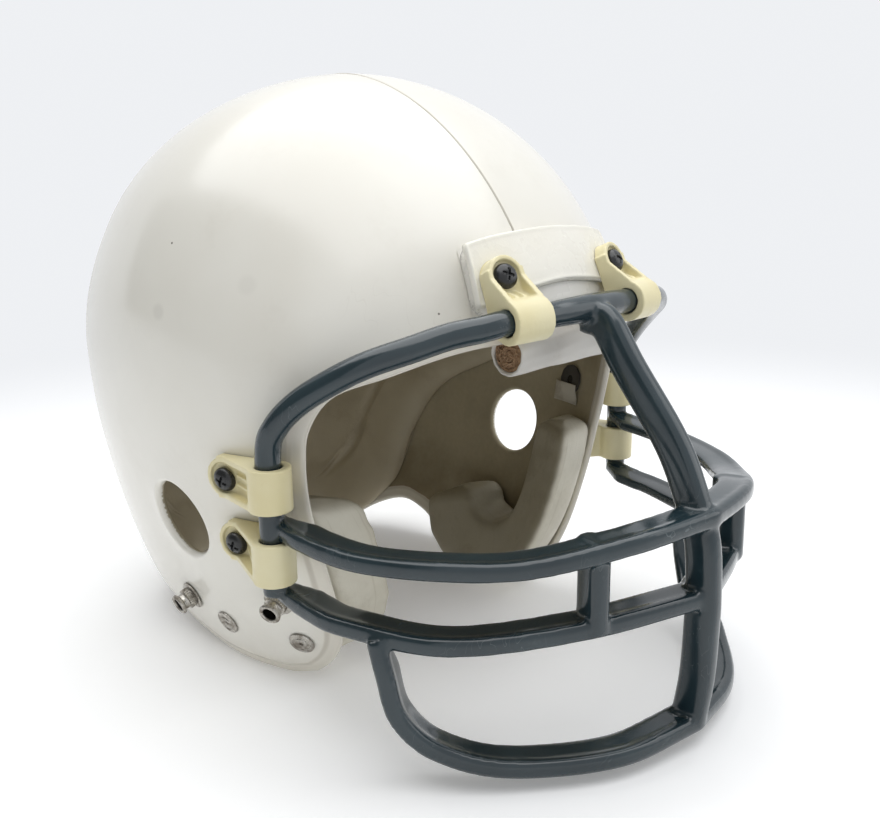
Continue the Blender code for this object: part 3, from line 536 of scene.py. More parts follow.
def shell_look():
    """Gloss with a soiled rim, a line of painted shade along the rim's step and a few marks outside, matt
    paint with a line of glue inside.
    """
    look, tree, place, shader = new_look("ivory_shell", 0.2, Coat_Weight=0.25, Coat_Roughness=0.16)
    broad = noise(tree, place, 14.0, 3)
    edge, inside = mark(tree, "edge"), mark(tree, "inside")
    # crease: the band along the rim's step, on both sheets, where painted shade darkens the colour.
    crease = times(tree, between(tree, edge, 0.0084, 0.0070), between(tree, edge, 0.0048, 0.0064))
    soiled = use(tree, SOILING, Place=place, Scale=30.0, Amount=0.5)
    lines = use(tree, SCRATCHES, Place=place, Scale=16.0, Width=0.0018)
    cream = blended(tree, between(tree, broad, 0.35, 0.7), (0.835, 0.815, 0.745), (0.80, 0.775, 0.70))
    cream = layered(tree, cream, (between(tree, edge, 0.016, 0.001), 0.45, (0.70, 0.64, 0.52)))
    # The crease layer is painted shade at the rim's step; the soiled layer is dirt.
    cream = layered(tree, cream, (crease, 0.38, (0.38, 0.33, 0.25)), (soiled, 0.05, (0.42, 0.36, 0.27)))
    cream = layered(tree, cream, (lines, 0.08, (0.45, 0.40, 0.33)))
    for centre, radius, strength in SHELL_MARKS:
        spot = use(tree, SPOT, Place=place, Centre=centre, Radius=radius, Core=radius * 0.4)
        cream = layered(tree, cream, (spot, strength, (0.10, 0.08, 0.06)))
    wander = times(tree, noise(tree, place, 90.0, 2), 0.002)
    border = between(tree, maths(tree, "SUBTRACT", edge, wander), 0.0062, 0.0068)
    painted = times(tree, border, inside)
    matt = blended(tree, noise(tree, place, 420.0, 5), (0.42, 0.37, 0.255), (0.52, 0.465, 0.335))
    matt = blended(tree, between(tree, broad, 0.3, 0.7), matt, (0.40, 0.35, 0.27), "MULTIPLY")
    glue = times(tree, times(tree, border, rest(tree, border)), 3.2)
    glue = times(tree, glue, between(tree, inside, 0.9, 1.0))
    colour = blended(tree, glue, blended(tree, painted, cream, matt), (0.24, 0.13, 0.05))
    rough = plus(tree, patches(tree, place, 9.0, 2, 0.19, 0.25, 0.2, 0.8), times(tree, painted, 0.6))
    tree.links.new(times(tree, rest(tree, painted), 0.25), shader["Coat Weight"])
    grain = use(tree, GRAIN, Place=place, Scale=700.0, Coarse=0.6)
    height = plus(tree, times(tree, noise(tree, place, 22.0, 2), 0.6), times(tree, grain, 0.03))
    wire(tree, shader, colour, rough, bump(tree, height, 0.05, 0.002))
    return look


LOOKS = {"shell": shell_look()}
print(len(SHELL_MARKS), "marks on the shell")

# %% Guard and moulded finishes
def guard_look():
    """A dipped coat: slightly uneven slate, worn paler in patches, with hair scratches."""
    look, tree, place, shader = new_look("slate_guard", 0.3, Coat_Weight=0.22, Coat_Roughness=0.1)
    broad = patches(tree, place, 35.0, 4, end=0.72)
    worn = use(tree, SOILING, Place=place, Scale=60.0, Amount=0.35)
    lines = use(tree, SCRATCHES, Place=place, Scale=55.0, Width=0.004)
    colour = blended(tree, broad, (0.012, 0.025, 0.032), (0.019, 0.036, 0.044))
    colour = layered(tree, colour, (worn, 0.16, (0.10, 0.13, 0.145)), (lines, 0.25, (0.20, 0.24, 0.25)))
    rough = plus(tree, patches(tree, place, 80.0, 5, 0.13, 0.23), times(tree, worn, 0.12))
    dip = plus(tree, noise(tree, place, 120.0, 2), times(tree, noise(tree, place, 700.0, 3), 0.12))
    wire(tree, shader, colour, rough, bump(tree, dip, 0.05, 0.0009))
    return look


def moulded_look(name, light, dark, roughness, grain, soil=0.3, spread=0.1, dirt=(0.2, 0.15, 0.1)):
    """Plain moulded plastic: two close colours, some soiling, and grain of a scale and a strength."""
    look, tree, place, shader = new_look(name, roughness)
    soiled = use(tree, SOILING, Place=place, Scale=70.0, Amount=soil)
    colour = blended(tree, patches(tree, place, 45.0, 4), light, dark)
    rough = patches(tree, place, 110.0, 4, roughness - spread, roughness + spread)
    height = use(tree, GRAIN, Place=place, Scale=grain[0], Coarse=0.8)
    colour = layered(tree, colour, (soiled, 0.25, dirt))
    wire(tree, shader, colour, rough, bump(tree, height, grain[1], 0.0004))
    return look


LOOKS |= {
    "guard": guard_look(),
    "clamp": moulded_look(
        "ivory_nylon", (0.80, 0.735, 0.475), (0.76, 0.68, 0.40), 0.36, (800, 0.16),
        spread=0.08, dirt=(0.50, 0.36, 0.14),
    ),
    "bumper": moulded_look("white_bumper", (0.80, 0.785, 0.735), (0.76, 0.74, 0.68), 0.3, (500, 0.08)),
    "plate": moulded_look("cream_plate", (0.87, 0.85, 0.77), (0.84, 0.815, 0.725), 0.3, (1200, 0.12), 0.2),
    "screw": moulded_look(
        "black_steel", (0.009, 0.010, 0.011), (0.015, 0.016, 0.017), 0.24, (1500, 0.07),
        0.4, 0.06, (0.05, 0.05, 0.05),
    ),
    "nut": moulded_look("dark_rubber", (0.07, 0.067, 0.06), (0.045, 0.043, 0.04), 0.6, (900, 0.3), 0.4),
    # The mould line's darker colour is painted shade along the raised seam.
    "seam": moulded_look("mould_line", (0.50, 0.47, 0.40), (0.43, 0.40, 0.33), 0.4, (900, 0.2)),
    "sticker": moulded_look("blank_label", (0.66, 0.635, 0.56), (0.60, 0.57, 0.49), 0.6, (700, 0.3), 0.6),
}
print("moulded finishes", *LOOKS)

# %% Metal, vinyl and foam finishes
def metal_look():
    """Dull nickel, browned in patches, with painted shade nearly black down the posts' bores."""
    look, tree, place, shader = new_look("aged_nickel", 0.27, Metallic=1.0)
    aged = use(tree, SOILING, Place=place, Scale=260.0, Amount=0.7)
    nickel = layered(tree, (0.47, 0.45, 0.41), (aged, 0.7, (0.17, 0.14, 0.11)))
    # The bore mark paints shade nearly black down the posts' bores.
    colour = blended(tree, mark(tree, "bore"), nickel, (0.02, 0.018, 0.016))
    rough = plus(tree, times(tree, aged, 0.35), 0.27)
    grain = use(tree, GRAIN, Place=place, Scale=2600.0, Coarse=0.5)
    wire(tree, shader, colour, rough, bump(tree, grain, 0.25, 0.0001))
    return look


def vinyl_look(name, light, dark, crease=0.0):
    """Vinyl skin: fine leathery cells, faint upright folds with painted shade in them, soiled in patches."""
    look, tree, place, shader = new_look(name, 0.5)
    soiled = use(tree, SOILING, Place=place, Scale=55.0, Amount=0.45)
    drawn = add(tree, "Mapping", ("Vector", place), ("Scale", (320, 320, 24)))
    folds = noise(tree, drawn.outputs[0], 1.0, 3)
    colour = blended(tree, patches(tree, place, 30.0, 5), light, dark)
    colour = layered(tree, colour, (soiled, 0.28, (0.34, 0.27, 0.17)))
    # Painted shade in the folds, as strong as crease allows.
    colour = layered(tree, colour, (between(tree, folds, 0.62, 0.7), crease * 0.4, dark))
    height = use(tree, SKIN, Place=place, Folds=folds, Creasing=crease, Leather=0.25)
    wire(tree, shader, colour, patches(tree, place, 150.0, 4, 0.42, 0.6), bump(tree, height, 0.35, 0.0005))
    return look


PAD_STAINS = ((0.0870, -0.0420, 0.0500), (0.0965, -0.0430, 0.0500))


def pad_look():
    """Cream vinyl over foam: painted shade on its inner face, soiled in patches, with creases darkened as
    painted shade that run along the piece.
    """
    look, tree, place, shader = new_look("jaw_vinyl", 0.5)
    soiled = use(tree, SOILING, Place=place, Scale=50.0, Amount=0.6)
    turned = (0, times(tree, mark(tree, "run"), 18.0)), (1, times(tree, mark(tree, "lay"), 420.0))
    folds = noise(tree, add(tree, "CombineXYZ", *turned).outputs[0], 1.0, 3, 0.55)
    colour = blended(tree, patches(tree, place, 30.0, 5), (0.70, 0.67, 0.57), (0.60, 0.565, 0.46))
    # Painted shade along the creases.
    colour = layered(tree, colour, (between(tree, folds, 0.56, 0.68), 0.30, (0.42, 0.37, 0.27)))
    # Painted shade on the face towards the head, by the inner mark, with some real soiling everywhere.
    inner_shade_and_dirt = plus(tree, times(tree, mark(tree, "inner"), 0.62), times(tree, soiled, 0.16))
    colour = blended(tree, inner_shade_and_dirt, colour, (0.27, 0.235, 0.155))
    for centre in PAD_STAINS:
        spot = use(tree, SPOT, Place=place, Centre=centre, Radius=0.0021, Core=0.0009)
        colour = layered(tree, colour, (spot, 0.7, (0.25, 0.13, 0.05)))
    height = use(tree, SKIN, Place=place, Folds=folds, Creasing=0.9, Leather=0.2)
    wire(tree, shader, colour, patches(tree, place, 150.0, 4, 0.42, 0.6), bump(tree, height, 0.35, 0.0006))
    return look


def foam_look():
    """Open brown foam: dark cell walls and paler cells, with a broad change of tone."""
    look, tree, place, shader = new_look("brown_foam", 0.9)
    pores = cells(tree, place, 900.0)
    colour = blended(tree, pores, (0.20, 0.11, 0.055), (0.52, 0.36, 0.22))
    colour = blended(tree, noise(tree, place, 200.0, 4), colour, (0.30, 0.17, 0.09))
    tree.links.new(colour, shader["Base Color"])
    tree.links.new(bump(tree, pores, 0.9, 0.0012), shader["Normal"])
    return look


LOOKS |= {
    "metal": metal_look(),
    # The roll's crease of 0.15 sets both its folds' relief and the painted shade in them.
    "roll": vinyl_look("white_vinyl", (0.72, 0.70, 0.655), (0.65, 0.62, 0.57), 0.15),
    "liner": vinyl_look("beige_liner", (0.55, 0.49, 0.36), (0.47, 0.41, 0.29)),
    "pad": pad_look(),
    "foam": foam_look(),
}
print(len(LOOKS), "finishes in all")

# %% [markdown]
# ## The shell
#
# The real shell is one moulding with an open face, two ear holes and a raised rim. It could be
# a dome cut with Booleans, but the cuts leave ragged faces just where the rims catch the light.
# Here each half is one grid of rays, fanned from the ear hole to the outer edge and slightly bowed
# so that none cross, so its rows run along every rim. An outer and an inner sheet meet there in a
# half round.

# %% Shell outlines
FACE_EDGE = (
    (-0.007, 0.592), (0.033, 0.587), (0.082, 0.559), (0.133, 0.531), (0.162, 0.480), (0.172, 0.431),
    (0.178, 0.385), (0.182, 0.345), (0.186, 0.280), (0.192, 0.215), (0.202, 0.145), (0.222, 0.088),
    (0.250, 0.046), (0.285, 0.014),
)
ARCH_EDGE = ((0.495, 0.002), (0.593, 0.023), (0.648, 0.050), (0.704, 0.066), (0.760, 0.048), (0.810, 0.010))
EAR_HOLE, EAR_RADIUS = (0.443, 0.289), 0.017


def side_line(shares):
    """Side-view shares of the shell's length and height as (y, z)."""
    return np.array(shares) * (SHELL_LENGTH, SHELL_HEIGHT) + (BROW_Y, 0)


def edge_on_dome(shares, count):
    """A side-view edge on the right half of the dome, from the middle plane to the middle plane."""
    fine = even(side_line(shares), 6000)
    out = dome_section(fine[:, 0], fine[:, 1])[0]
    line = side_place(*fine[out < 1].T)
    line[0, 0] = line[-1, 0] = 0
    return even(line, count)


def middle_line(start, end, count):
    """The dome's middle line from one of its places over the crown to another."""
    turns = [math.atan2(place[2] - WIDEST_Z, place[1] - WIDEST_Y) for place in (start, end)]
    if turns[1] < turns[0]:
        turns[1] += math.tau
    at = np.linspace(*turns, 3000)
    return even(on_dome(np.stack([0 * at, np.cos(at), np.sin(at)], axis=1)), count)


below_face, below_nape = [(0.33, 0), (0.48, 0)], [(0.83, 0), (1.05, 0)]
outline = np.vstack([smooth_line(FACE_EDGE, 40), below_face, smooth_line(ARCH_EDGE, 40), below_nape])
shell_edge = edge_on_dome(outline, 170)
shell_middle = middle_line(shell_edge[-1], shell_edge[0], 151)
print("shell edge", round(run_along(shell_edge)[-1], 3), "middle line", round(run_along(shell_middle)[-1], 3))

# %% Flat fans of rays
MEAN_RADIUS = 0.118
EVEN_ROWS = 26


def spread(points):
    """The right half of the dome laid flat: the angle from -X as a radius, turned by the way about X."""
    ray = unit(points - MIDDLE)
    polar, about = np.arccos(np.clip(-ray[..., 0], -1, 1)), np.arctan2(ray[..., 2], ray[..., 1])
    return np.stack([polar * np.cos(about), polar * np.sin(about)], axis=-1)


def gathered(flat):
    """The way back from `spread` to the dome."""
    polar, about = np.linalg.norm(flat, axis=-1), np.arctan2(flat[..., 1], flat[..., 0])
    ray = [-np.cos(polar), np.sin(polar) * np.cos(about), np.sin(polar) * np.sin(about)]
    return on_dome(np.stack(ray, axis=-1))


def ray_shares(rays, near_start, near_end):
    """Shares along flat rays: fine rows at set distances from both ends, even rows between."""
    length = np.linalg.norm(rays, axis=1)[:, None] * MEAN_RADIUS
    first, last = near_start / length, 1 - near_end[::-1] / length
    middle = np.linspace(first[:, -1], last[:, 0], EVEN_ROWS + 2, axis=1)[:, 1:-1]
    return np.hstack([first, middle, last])[..., None]


def distance_to(points, line):
    """Distance from each point to a line of straight runs, a block of points at a time."""
    start, run = line[:-1], np.diff(line, axis=0)
    found = []
    for block in np.array_split(points.reshape(-1, 3), 24):
        away = block[:, None] - start
        share = np.clip((away * run).sum(-1) / (run * run).sum(-1), 0, 1)
        found.append(np.linalg.norm(away - share[..., None] * run, axis=-1).min(axis=1))
    return np.concatenate(found).reshape(points.shape[:-1])


def two_halves(name, sheets, on_middle, weld, **marks):
    """The right half's sheets and their mirror images, welded where their first rays end on the middle."""
    columns, rows = sheets[0].shape[:2]
    points, faces = [], []
    for side in (1, -1):
        for sheet in sheets:
            sheet[:on_middle, -1, 0] = 0
            faces.append(grid_faces(columns, rows, wrap_rows=True, first=len(points) * columns * rows))
            points.append((sheet * (side, 1, 1)).reshape(-1, 3))
    doubled = {word: np.tile(np.ravel(values), 2) for word, values in marks.items()}
    return mesh_of(name, np.vstack(points), np.vstack(faces), weld, doubled)


print("the shell's edge laid flat spans", np.ptp(spread(shell_edge), axis=0).round(2), "radians")

# %% Shell surface
RIM_RADIUS = WALL / 2
RIM_ROWS = RIM_RADIUS * (1 - np.cos(np.linspace(0, math.pi / 2, 7)))
EDGE_ROWS = MM * np.array((2.6, 3.4, 4.3, 5.0, 5.6, 6.2, 6.8, 7.4, 8.1, 9, 10.5, 12.5, 15))
HOLE_ROWS = MM * np.array((2.7, 3.6, 4.8, 6.3, 8.2, 10.5))
FAN_HEART = np.array((0.080, 0.140))
BOW = 0.25
STEP_DEPTH, STEP_START, STEP_WIDTH = 0.00075, 0.0079, 0.0026
FLARE_HEIGHT, FLARE_WIDTH = 0.0006, 0.006


def shell_fan():
    """The right half's grid: rays from the ear hole's ring to the outer loop, bowed at mid-length."""
    loop = np.vstack([shell_middle[:-1], shell_edge[:-1]])
    outer, heart = spread(loop), spread(side_place(*FAN_HEART))
    turns = np.unwrap(np.arctan2(*(outer - heart).T[::-1]))
    ring = side_line(EAR_HOLE) + EAR_RADIUS * np.stack([np.cos(turns), np.sin(turns)], axis=1)
    inner = spread(side_place(*ring.T))
    ray = outer - inner
    lean = heart - (outer + inner) / 2
    lean = lean - ray * ((lean * ray).sum(1) / (ray * ray).sum(1))[:, None]
    bow = BOW * np.linalg.norm(ray, axis=1, keepdims=True) ** 2 * lean
    near_hole, near_edge = (np.concatenate([RIM_ROWS, rows]) for rows in (HOLE_ROWS, EDGE_ROWS))
    shares = ray_shares(ray, near_hole, near_edge)
    points = gathered(inner[:, None] + ray[:, None] * shares + 4 * shares * (1 - shares) * bow[:, None])
    points[:, -1] = loop
    return points


def build_shell():
    """Two sheets that meet in half rounds. The outer flares at the ear hole and steps down at the rim."""
    base = shell_fan()
    normal = dome_normal(base)
    to_edge = distance_to(base, shell_edge)
    to_hole = np.linalg.norm(base[..., 1:] - side_line(EAR_HOLE), axis=-1) - EAR_RADIUS
    to_hole[:, 0] = 0
    cut = np.minimum(to_edge, to_hole)
    near = np.clip((STEP_START - to_edge) / STEP_WIDTH, 0, 1)
    step = STEP_DEPTH * near**2 * (3 - 2 * near)
    flare = FLARE_HEIGHT * np.exp(-((to_hole / FLARE_WIDTH) ** 2))
    sink = (RIM_RADIUS - step + flare) * (1 - rounded(cut, RIM_RADIUS)) + step - flare
    rise = WALL - RIM_RADIUS * (1 - rounded(cut, RIM_RADIUS))
    sheets = [base - normal * depth[..., None] for depth in (sink, rise)]
    inside = np.stack([0 * cut, 0 * cut + 1])
    edge = np.stack([np.minimum(to_edge, to_hole + 0.02)] * 2)
    return two_halves("shell_surface", sheets, len(shell_middle), 2e-6, inside=inside, edge=edge)


piece("shell_skin", build_shell(), LOOKS["shell"], replaces=["shell"])

# %% [markdown]
# ## Mould line over the crown
#
# The two halves of the mould leave a fine line from the plate over the crown to the nape, a
# little to the wearer's right of the middle. A painted line would lose its relief, so it is a thin
# tube, sunk so that only its back stands out of the shell. Its darker colour is painted shade
# along the line.

# %% Mould line
MOULD_X, MOULD_RADIUS, MOULD_SINK = -0.0085, 0.00090, 0.00068
MOULD_START, MOULD_END, MOULD_COUNT = -40, 160, 260


def tube(path, radius, sides):
    """A round tube along a path, with a radius for each place and closed ends."""
    along = unit(np.gradient(path, axis=0))
    first = unit(np.cross(along, np.where(np.abs(along[:, :1]) < 0.9, (1.0, 0, 0), (0, 0, 1.0))))
    second = np.cross(along, first)
    turns = np.linspace(0, math.tau, sides, endpoint=False)
    spokes = np.cos(turns)[:, None] * first[:, None] + np.sin(turns)[:, None] * second[:, None]
    rings = path[:, None] + radius[:, None, None] * spokes
    return rings.reshape(-1, 3), grid_faces(len(path), sides, False, True).tolist() + caps(len(path), sides)


def line_over_dome(x, start, end, count):
    """Places on the dome at one x: the reach at each angle is divided by the level until it fits."""
    turns = np.radians(np.linspace(start, end, count))
    reach = np.full(count, FRONT_REACH)
    for _ in range(60):
        y, z = WIDEST_Y + reach * np.cos(turns), WIDEST_Z + reach * np.sin(turns)
        places = np.stack([np.full(count, x), y, z], axis=1)
        reach = reach / level(places)
    return places


mould = line_over_dome(MOULD_X, MOULD_START, MOULD_END, MOULD_COUNT)
way = np.linspace(0, 1, MOULD_COUNT)
taper = np.minimum(1, 70 * np.minimum(way, way[::-1]))
shape = tube(mould - dome_normal(mould) * MOULD_SINK, MOULD_RADIUS * taper + 1e-5, 20)
# The tube's darker finish paints the shade along the seam.
piece("mould_line", mesh_of("mould_line", *shape), LOOKS["seam"])

# %% [markdown]
# ## Crown liner
#
# A moulded foam pad in a tight vinyl skin fills the crown and the back. Loose cloth would be
# simulated, but this skin has no slack, so a formula gives it better: one more fan of rays under
# the shell, drawn in towards its edge in a quarter ellipse, with two shallow channels.

# %% Crown liner
LINER_EDGE = (
    (0.053, 0.659), (0.144, 0.617), (0.220, 0.584), (0.369, 0.499), (0.513, 0.415), (0.647, 0.340),
    (0.707, 0.237), (0.725, 0.132), (0.740, 0.092), (0.780, 0.038), (0.815, 0.012),
)
LINER_HEART = np.array((0.085, 0.150))
LINER_ROWS = MM * np.array((0, 0.15, 0.5, 1.0, 1.7, 2.7, 4, 5.6, 7.6, 10, 13, 17))
LINER_GAP, LINER_THICK, LINER_DRAW = 0.0006, 0.0085, 0.017
CHANNELS, CHANNEL_WIDTH, CHANNEL_DEPTH = (0.034, 0.072), 0.0022, 0.0018


def build_liner():
    """Rays from the middle of the side to the liner's edge, and the thickness by the distance to it."""
    edge = edge_on_dome(np.vstack([smooth_line(LINER_EDGE, 40), [(1.05, 0.004)]]), 150)
    over = middle_line(edge[-1], edge[0], 130)
    loop = np.vstack([over[:-1], edge[:-1]])
    centre = spread(side_place(*LINER_HEART))
    ray = spread(loop) - centre
    base = gathered(centre + ray[:, None] * ray_shares(ray, np.array((0.0,)), LINER_ROWS))
    base[:, -1] = loop
    to_edge = distance_to(base, edge)
    channel = sum(np.exp(-(((to_edge - away) / CHANNEL_WIDTH) ** 2)) for away in CHANNELS)
    thick = LINER_THICK * rounded(to_edge, LINER_DRAW) - CHANNEL_DEPTH * channel
    depths = 0 * thick, np.maximum(thick, 0)
    sheets = [base - dome_normal(base) * (WALL + LINER_GAP + depth)[..., None] for depth in depths]
    return two_halves("crown_liner_form", sheets, len(over), 3e-6)


liner = piece("crown_liner_skin", build_liner(), LOOKS["liner"], replaces=["crown_liner"])

# %% [markdown]
# ## Bumper and name plate on the brow
#
# A vinyl bumper covers the brow, and a thin moulded plate with a raised rim lies on it. Both could
# be flat sheets bent by a modifier, but they have to hug the dome exactly. So each is drawn in the
# front view, laid on the dome and raised, and its edges die away in a quarter round. The plate's
# face is left bare.

# %% Brow layers
BUMPER_TOP = ((0.316, 0.7250), (0.200, 0.7360), (0, 0.7415))
BUMPER_LOW = ((0.342, 0.633), (0.200, 0.628), (0, 0.628))
PLATE_TOP = ((0.324, 0.7230), (0.200, 0.7330), (0, 0.7385))
PLATE_LOW = ((0.350, 0.636), (0.239, 0.649), (0.124, 0.658), (0, 0.6625))
GAP, BUMPER_THICK, PLATE_THICK = 0.0003, 0.0060, 0.0020
BUMPER_ROUND, PLATE_ROUND, PLATE_RIM = 0.0028, 0.0009, 0.00030
LAYER_ROWS, LAYER_COLUMNS = 29, 121
CORNER_SHARE, RIM_INSET, RIM_WIDTH = 2.2, 0.0011, 0.0005


def brow_curve(shares):
    """Half an edge in the front view, made whole: (x, z) evenly from the wearer's right to the left."""
    half = np.array(shares) * (-HALF_WIDTH, SHELL_HEIGHT)
    whole = np.vstack([half, half[-2::-1] * (-1, 1)])
    return even(smooth_line(whole, 30), LAYER_COLUMNS)


def brow_layer(name, top, low, base, thick, radius, rim=0.0):
    """A closed layer over the dome: its back at `base`, its front raised by a quarter round, with a rim."""
    shares, columns = ((1 - np.cos(np.linspace(0, math.pi, n))) / 2 for n in (LAYER_ROWS, LAYER_COLUMNS))
    way = np.linspace(0, 1, LAYER_COLUMNS)
    curves = brow_curve(top), brow_curve(low)
    top, low = (np.stack([np.interp(columns, way, row) for row in curve.T], axis=1) for curve in curves)
    view = low + (top - low) * shares[:, None, None]
    height = np.linalg.norm(top - low, axis=1)
    across = np.minimum(run_along(low), run_along(low)[::-1])
    down = np.minimum(shares, 1 - shares)[:, None] * height
    ends = np.broadcast_to(across, down.shape)
    corner = radius * CORNER_SHARE
    in_corner = (ends < corner) & (down < corner)
    inset = np.where(in_corner, corner - np.hypot(corner - ends, corner - down), np.minimum(ends, down))
    inset = np.clip(inset, 0, None)
    places = front_place(view[..., 0], view[..., 1])
    normal = dome_normal(places)
    lip = rim * np.exp(-(((inset - RIM_INSET) / RIM_WIDTH) ** 2))
    front = places + normal * (base + thick * rounded(inset, radius) + lip)[..., None]
    back = places + normal * base
    rows, count = inset.shape
    faces = np.vstack([grid_faces(rows, count), grid_faces(rows, count, first=rows * count)])
    return mesh_of(name, np.vstack([front.reshape(-1, 3), back.reshape(-1, 3)]), faces, 3e-6)


bumper = brow_layer("bumper_form", BUMPER_TOP, BUMPER_LOW, GAP, BUMPER_THICK, BUMPER_ROUND)
base = GAP + BUMPER_THICK + GAP
plate = brow_layer("plate_form", PLATE_TOP, PLATE_LOW, base, PLATE_THICK, PLATE_ROUND, PLATE_RIM)
piece("brow_bumper", bumper, LOOKS["bumper"], replaces=["front_bumper"])
piece("blank_name_plate", plate, LOOKS["plate"], replaces=["name_plate"])

# %% [markdown]
# ## Brow roll
#
# A foam core in a vinyl cover, slit along its top and pushed over the shell's brow edge. A Boolean
# could cut the slit, but a real one closes round the shell. So the places that would fall in the
# shell's wall are moved to its nearer face, and the slit hugs it.

# %% Brow roll
ROLL_RADIUS, COVER_WALL, ROLL_HALF, ROLL_SIDES = 0.0082, 0.0012, 0.0300, 96
SLIT_RISE, LINING, BROAD_WRINKLE, FINE_WRINKLE = 0.0017, 0.0035, 0.00022, 0.00012
CORE_GAP, SPIRAL_PITCH, GROOVE_DEPTH, GROOVE_WIDTH = 0.00015, 0.0024, 0.0009, 0.10
ROLL_TURNS = np.linspace(0, math.tau, ROLL_SIDES, endpoint=False)
ROLL_PLACE = np.array((0, BROW_Y + 0.0040, FACE_EDGE[0][1] * SHELL_HEIGHT - 0.0045))


def clear_of_wall(points):
    """Moves places that fall in the shell's wall, above the brow edge, to just off its nearer face."""
    high = height_over_dome(points)
    caught = (high > -WALL - GAP) & (high < GAP) & (points[:, 2] > ROLL_PLACE[2] + SLIT_RISE)
    target = np.where(high > -WALL / 2, GAP, -WALL - GAP)
    return points + dome_normal(points) * np.where(caught, target - high, 0)[:, None]


def build_roll_cover():
    """A tube with rounded rims: (x, radius) rows turned about X, with two sizes of soft wrinkles."""
    half, turn = COVER_WALL / 2, np.linspace(0, math.pi, 9)
    end = np.stack([ROLL_HALF - half + half * np.sin(turn), ROLL_RADIUS - half + half * np.cos(turn)], axis=1)
    length = np.linspace(COVER_WALL - ROLL_HALF, ROLL_HALF - COVER_WALL, 60)
    outside = np.stack([length, np.full(60, ROLL_RADIUS)], axis=1)
    inside = np.array([(ROLL_HALF - LINING, ROLL_RADIUS - COVER_WALL)])
    profile = np.vstack([inside * (-1, 1), end[::-1] * (-1, 1), outside, end, inside])
    x, r = profile[:, :1], profile[:, 1:]
    broad, fine = np.sin(3 * ROLL_TURNS + 6.4 * x / ROLL_HALF), np.sin(11 * ROLL_TURNS + 150 * x)
    r = r + (BROAD_WRINKLE * broad + FINE_WRINKLE * fine) * (r > ROLL_RADIUS - COVER_WALL)
    rings = [x + 0 * ROLL_TURNS, r * np.cos(ROLL_TURNS), r * np.sin(ROLL_TURNS)]
    points = np.stack(rings, axis=-1) + ROLL_PLACE
    faces = grid_faces(len(profile), ROLL_SIDES, wrap_columns=True, wrap_rows=True)
    return mesh_of("roll_cover_form", clear_of_wall(points.reshape(-1, 3)), faces)


def build_roll_core():
    """A rolled sheet: a spiral groove, its radius growing with the turn, pressed into each end."""
    rings = 26
    radii = np.linspace(0, ROLL_RADIUS - COVER_WALL - CORE_GAP, rings)
    r, t = np.meshgrid(radii, ROLL_TURNS, indexing="ij")
    groove = np.abs((r / SPIRAL_PITCH - t / math.tau) % 1 - 0.5)
    pressed = GROOVE_DEPTH * np.exp(-((groove / GROOVE_WIDTH) ** 2)) * (r > 0.0006)
    depth = pressed + 0.0006 * (r / ROLL_RADIUS) ** 4
    points, faces = [], []
    for side in (1, -1):
        x = side * (ROLL_HALF - GROOVE_DEPTH - depth)
        faces.append(grid_faces(rings, ROLL_SIDES, wrap_columns=True, first=len(points) * r.size))
        points.append(np.stack([x, r * np.cos(t), r * np.sin(t)], axis=-1).reshape(-1, 3) + ROLL_PLACE)
    first = (rings - 1) * ROLL_SIDES + np.arange(ROLL_SIDES)
    last = first + r.size
    faces.append(np.stack([first, np.roll(first, -1), np.roll(last, -1), last], axis=1))
    return mesh_of("roll_core_form", clear_of_wall(np.vstack(points)), np.vstack(faces), 2e-6)


cover = piece("brow_roll_cover", build_roll_cover(), LOOKS["roll"], replaces=["front_roll_cover"])
core = piece("brow_roll_core", build_roll_core(), LOOKS["foam"], replaces=["front_roll_core"])

# %% [markdown]
# ## Face guard
#
# The guard is one plastic moulding. Each bar is a loft, a section carried along a path, with a bead
# on its outer edge and a web behind it. Booleans could join the bars, but they leave sharp seams.
# Joined as voxels and smoothed, the bars get the soft inner corners of a dipped moulding.

# %% Face guard
GUARD_REACH = FRONT_REACH * 1.5925
BROW_BAR = (
    (0.909, 0.3726, 0.240), (0.909, 0.3726, 0.345), (0.909, 0.3726, 0.457), (0.899, 0.3975, 0.499),
    (0.863, 0.4404, 0.535), (0.800, 0.4928, 0.566), (0.730, 0.5400, 0.589), (0.634, 0.5880, 0.607),
    (0.533, 0.6241, 0.622), (0.442, 0.6498, 0.628), (0.367, 0.6627, 0.633), (0.274, 0.6730, 0.634),
    (0.184, 0.6816, 0.636), (0, 0.6919, 0.638),
)
CROSS_BARS = (
    ((0.917, 0.3657, 0.347), (0.924, 0.4558, 0.338), (0.886, 0.5932, 0.332), (0.756, 0.7382, 0.333),
     (0.586, 0.8481, 0.337), (0.329, 0.9502, 0.358), (0, 0.9914, 0.363)),
    ((0.910, 0.3657, 0.243), (0.910, 0.4558, 0.231), (0.888, 0.5503, 0.226), (0.751, 0.7391, 0.224),
     (0.438, 0.8944, 0.237), (0, 0.9897, 0.241)),
    ((0.867, 0.6275, 0.225), (0.862, 0.6481, 0.170), (0.843, 0.6696, 0.110), (0.766, 0.7211, 0.062),
     (0.613, 0.8155, 0.036), (0.326, 0.9356, 0.033), (0, 0.9828, 0.040)),
)
RIDGE = (
    (0, 0.6867, 0.651), (0, 0.7468, 0.639), (0, 0.8120, 0.571), (0, 0.9090, 0.476), (0, 0.9571, 0.405),
    (0, 0.9914, 0.330), (0, 1, 0.250), (0, 1, 0.190), (0, 0.9957, 0.110), (0, 0.9828, 0.040),
)
STUBS = ((0.398, 0.9142, 0.365), (0.402, 0.9142, 0.230))
BAR_RADIUS = 0.0050
BEAD, WEB_EDGE, WEB_DEPTHS = (0.0025, 0.0036), 0.0005, (0.0069, 0.0076)
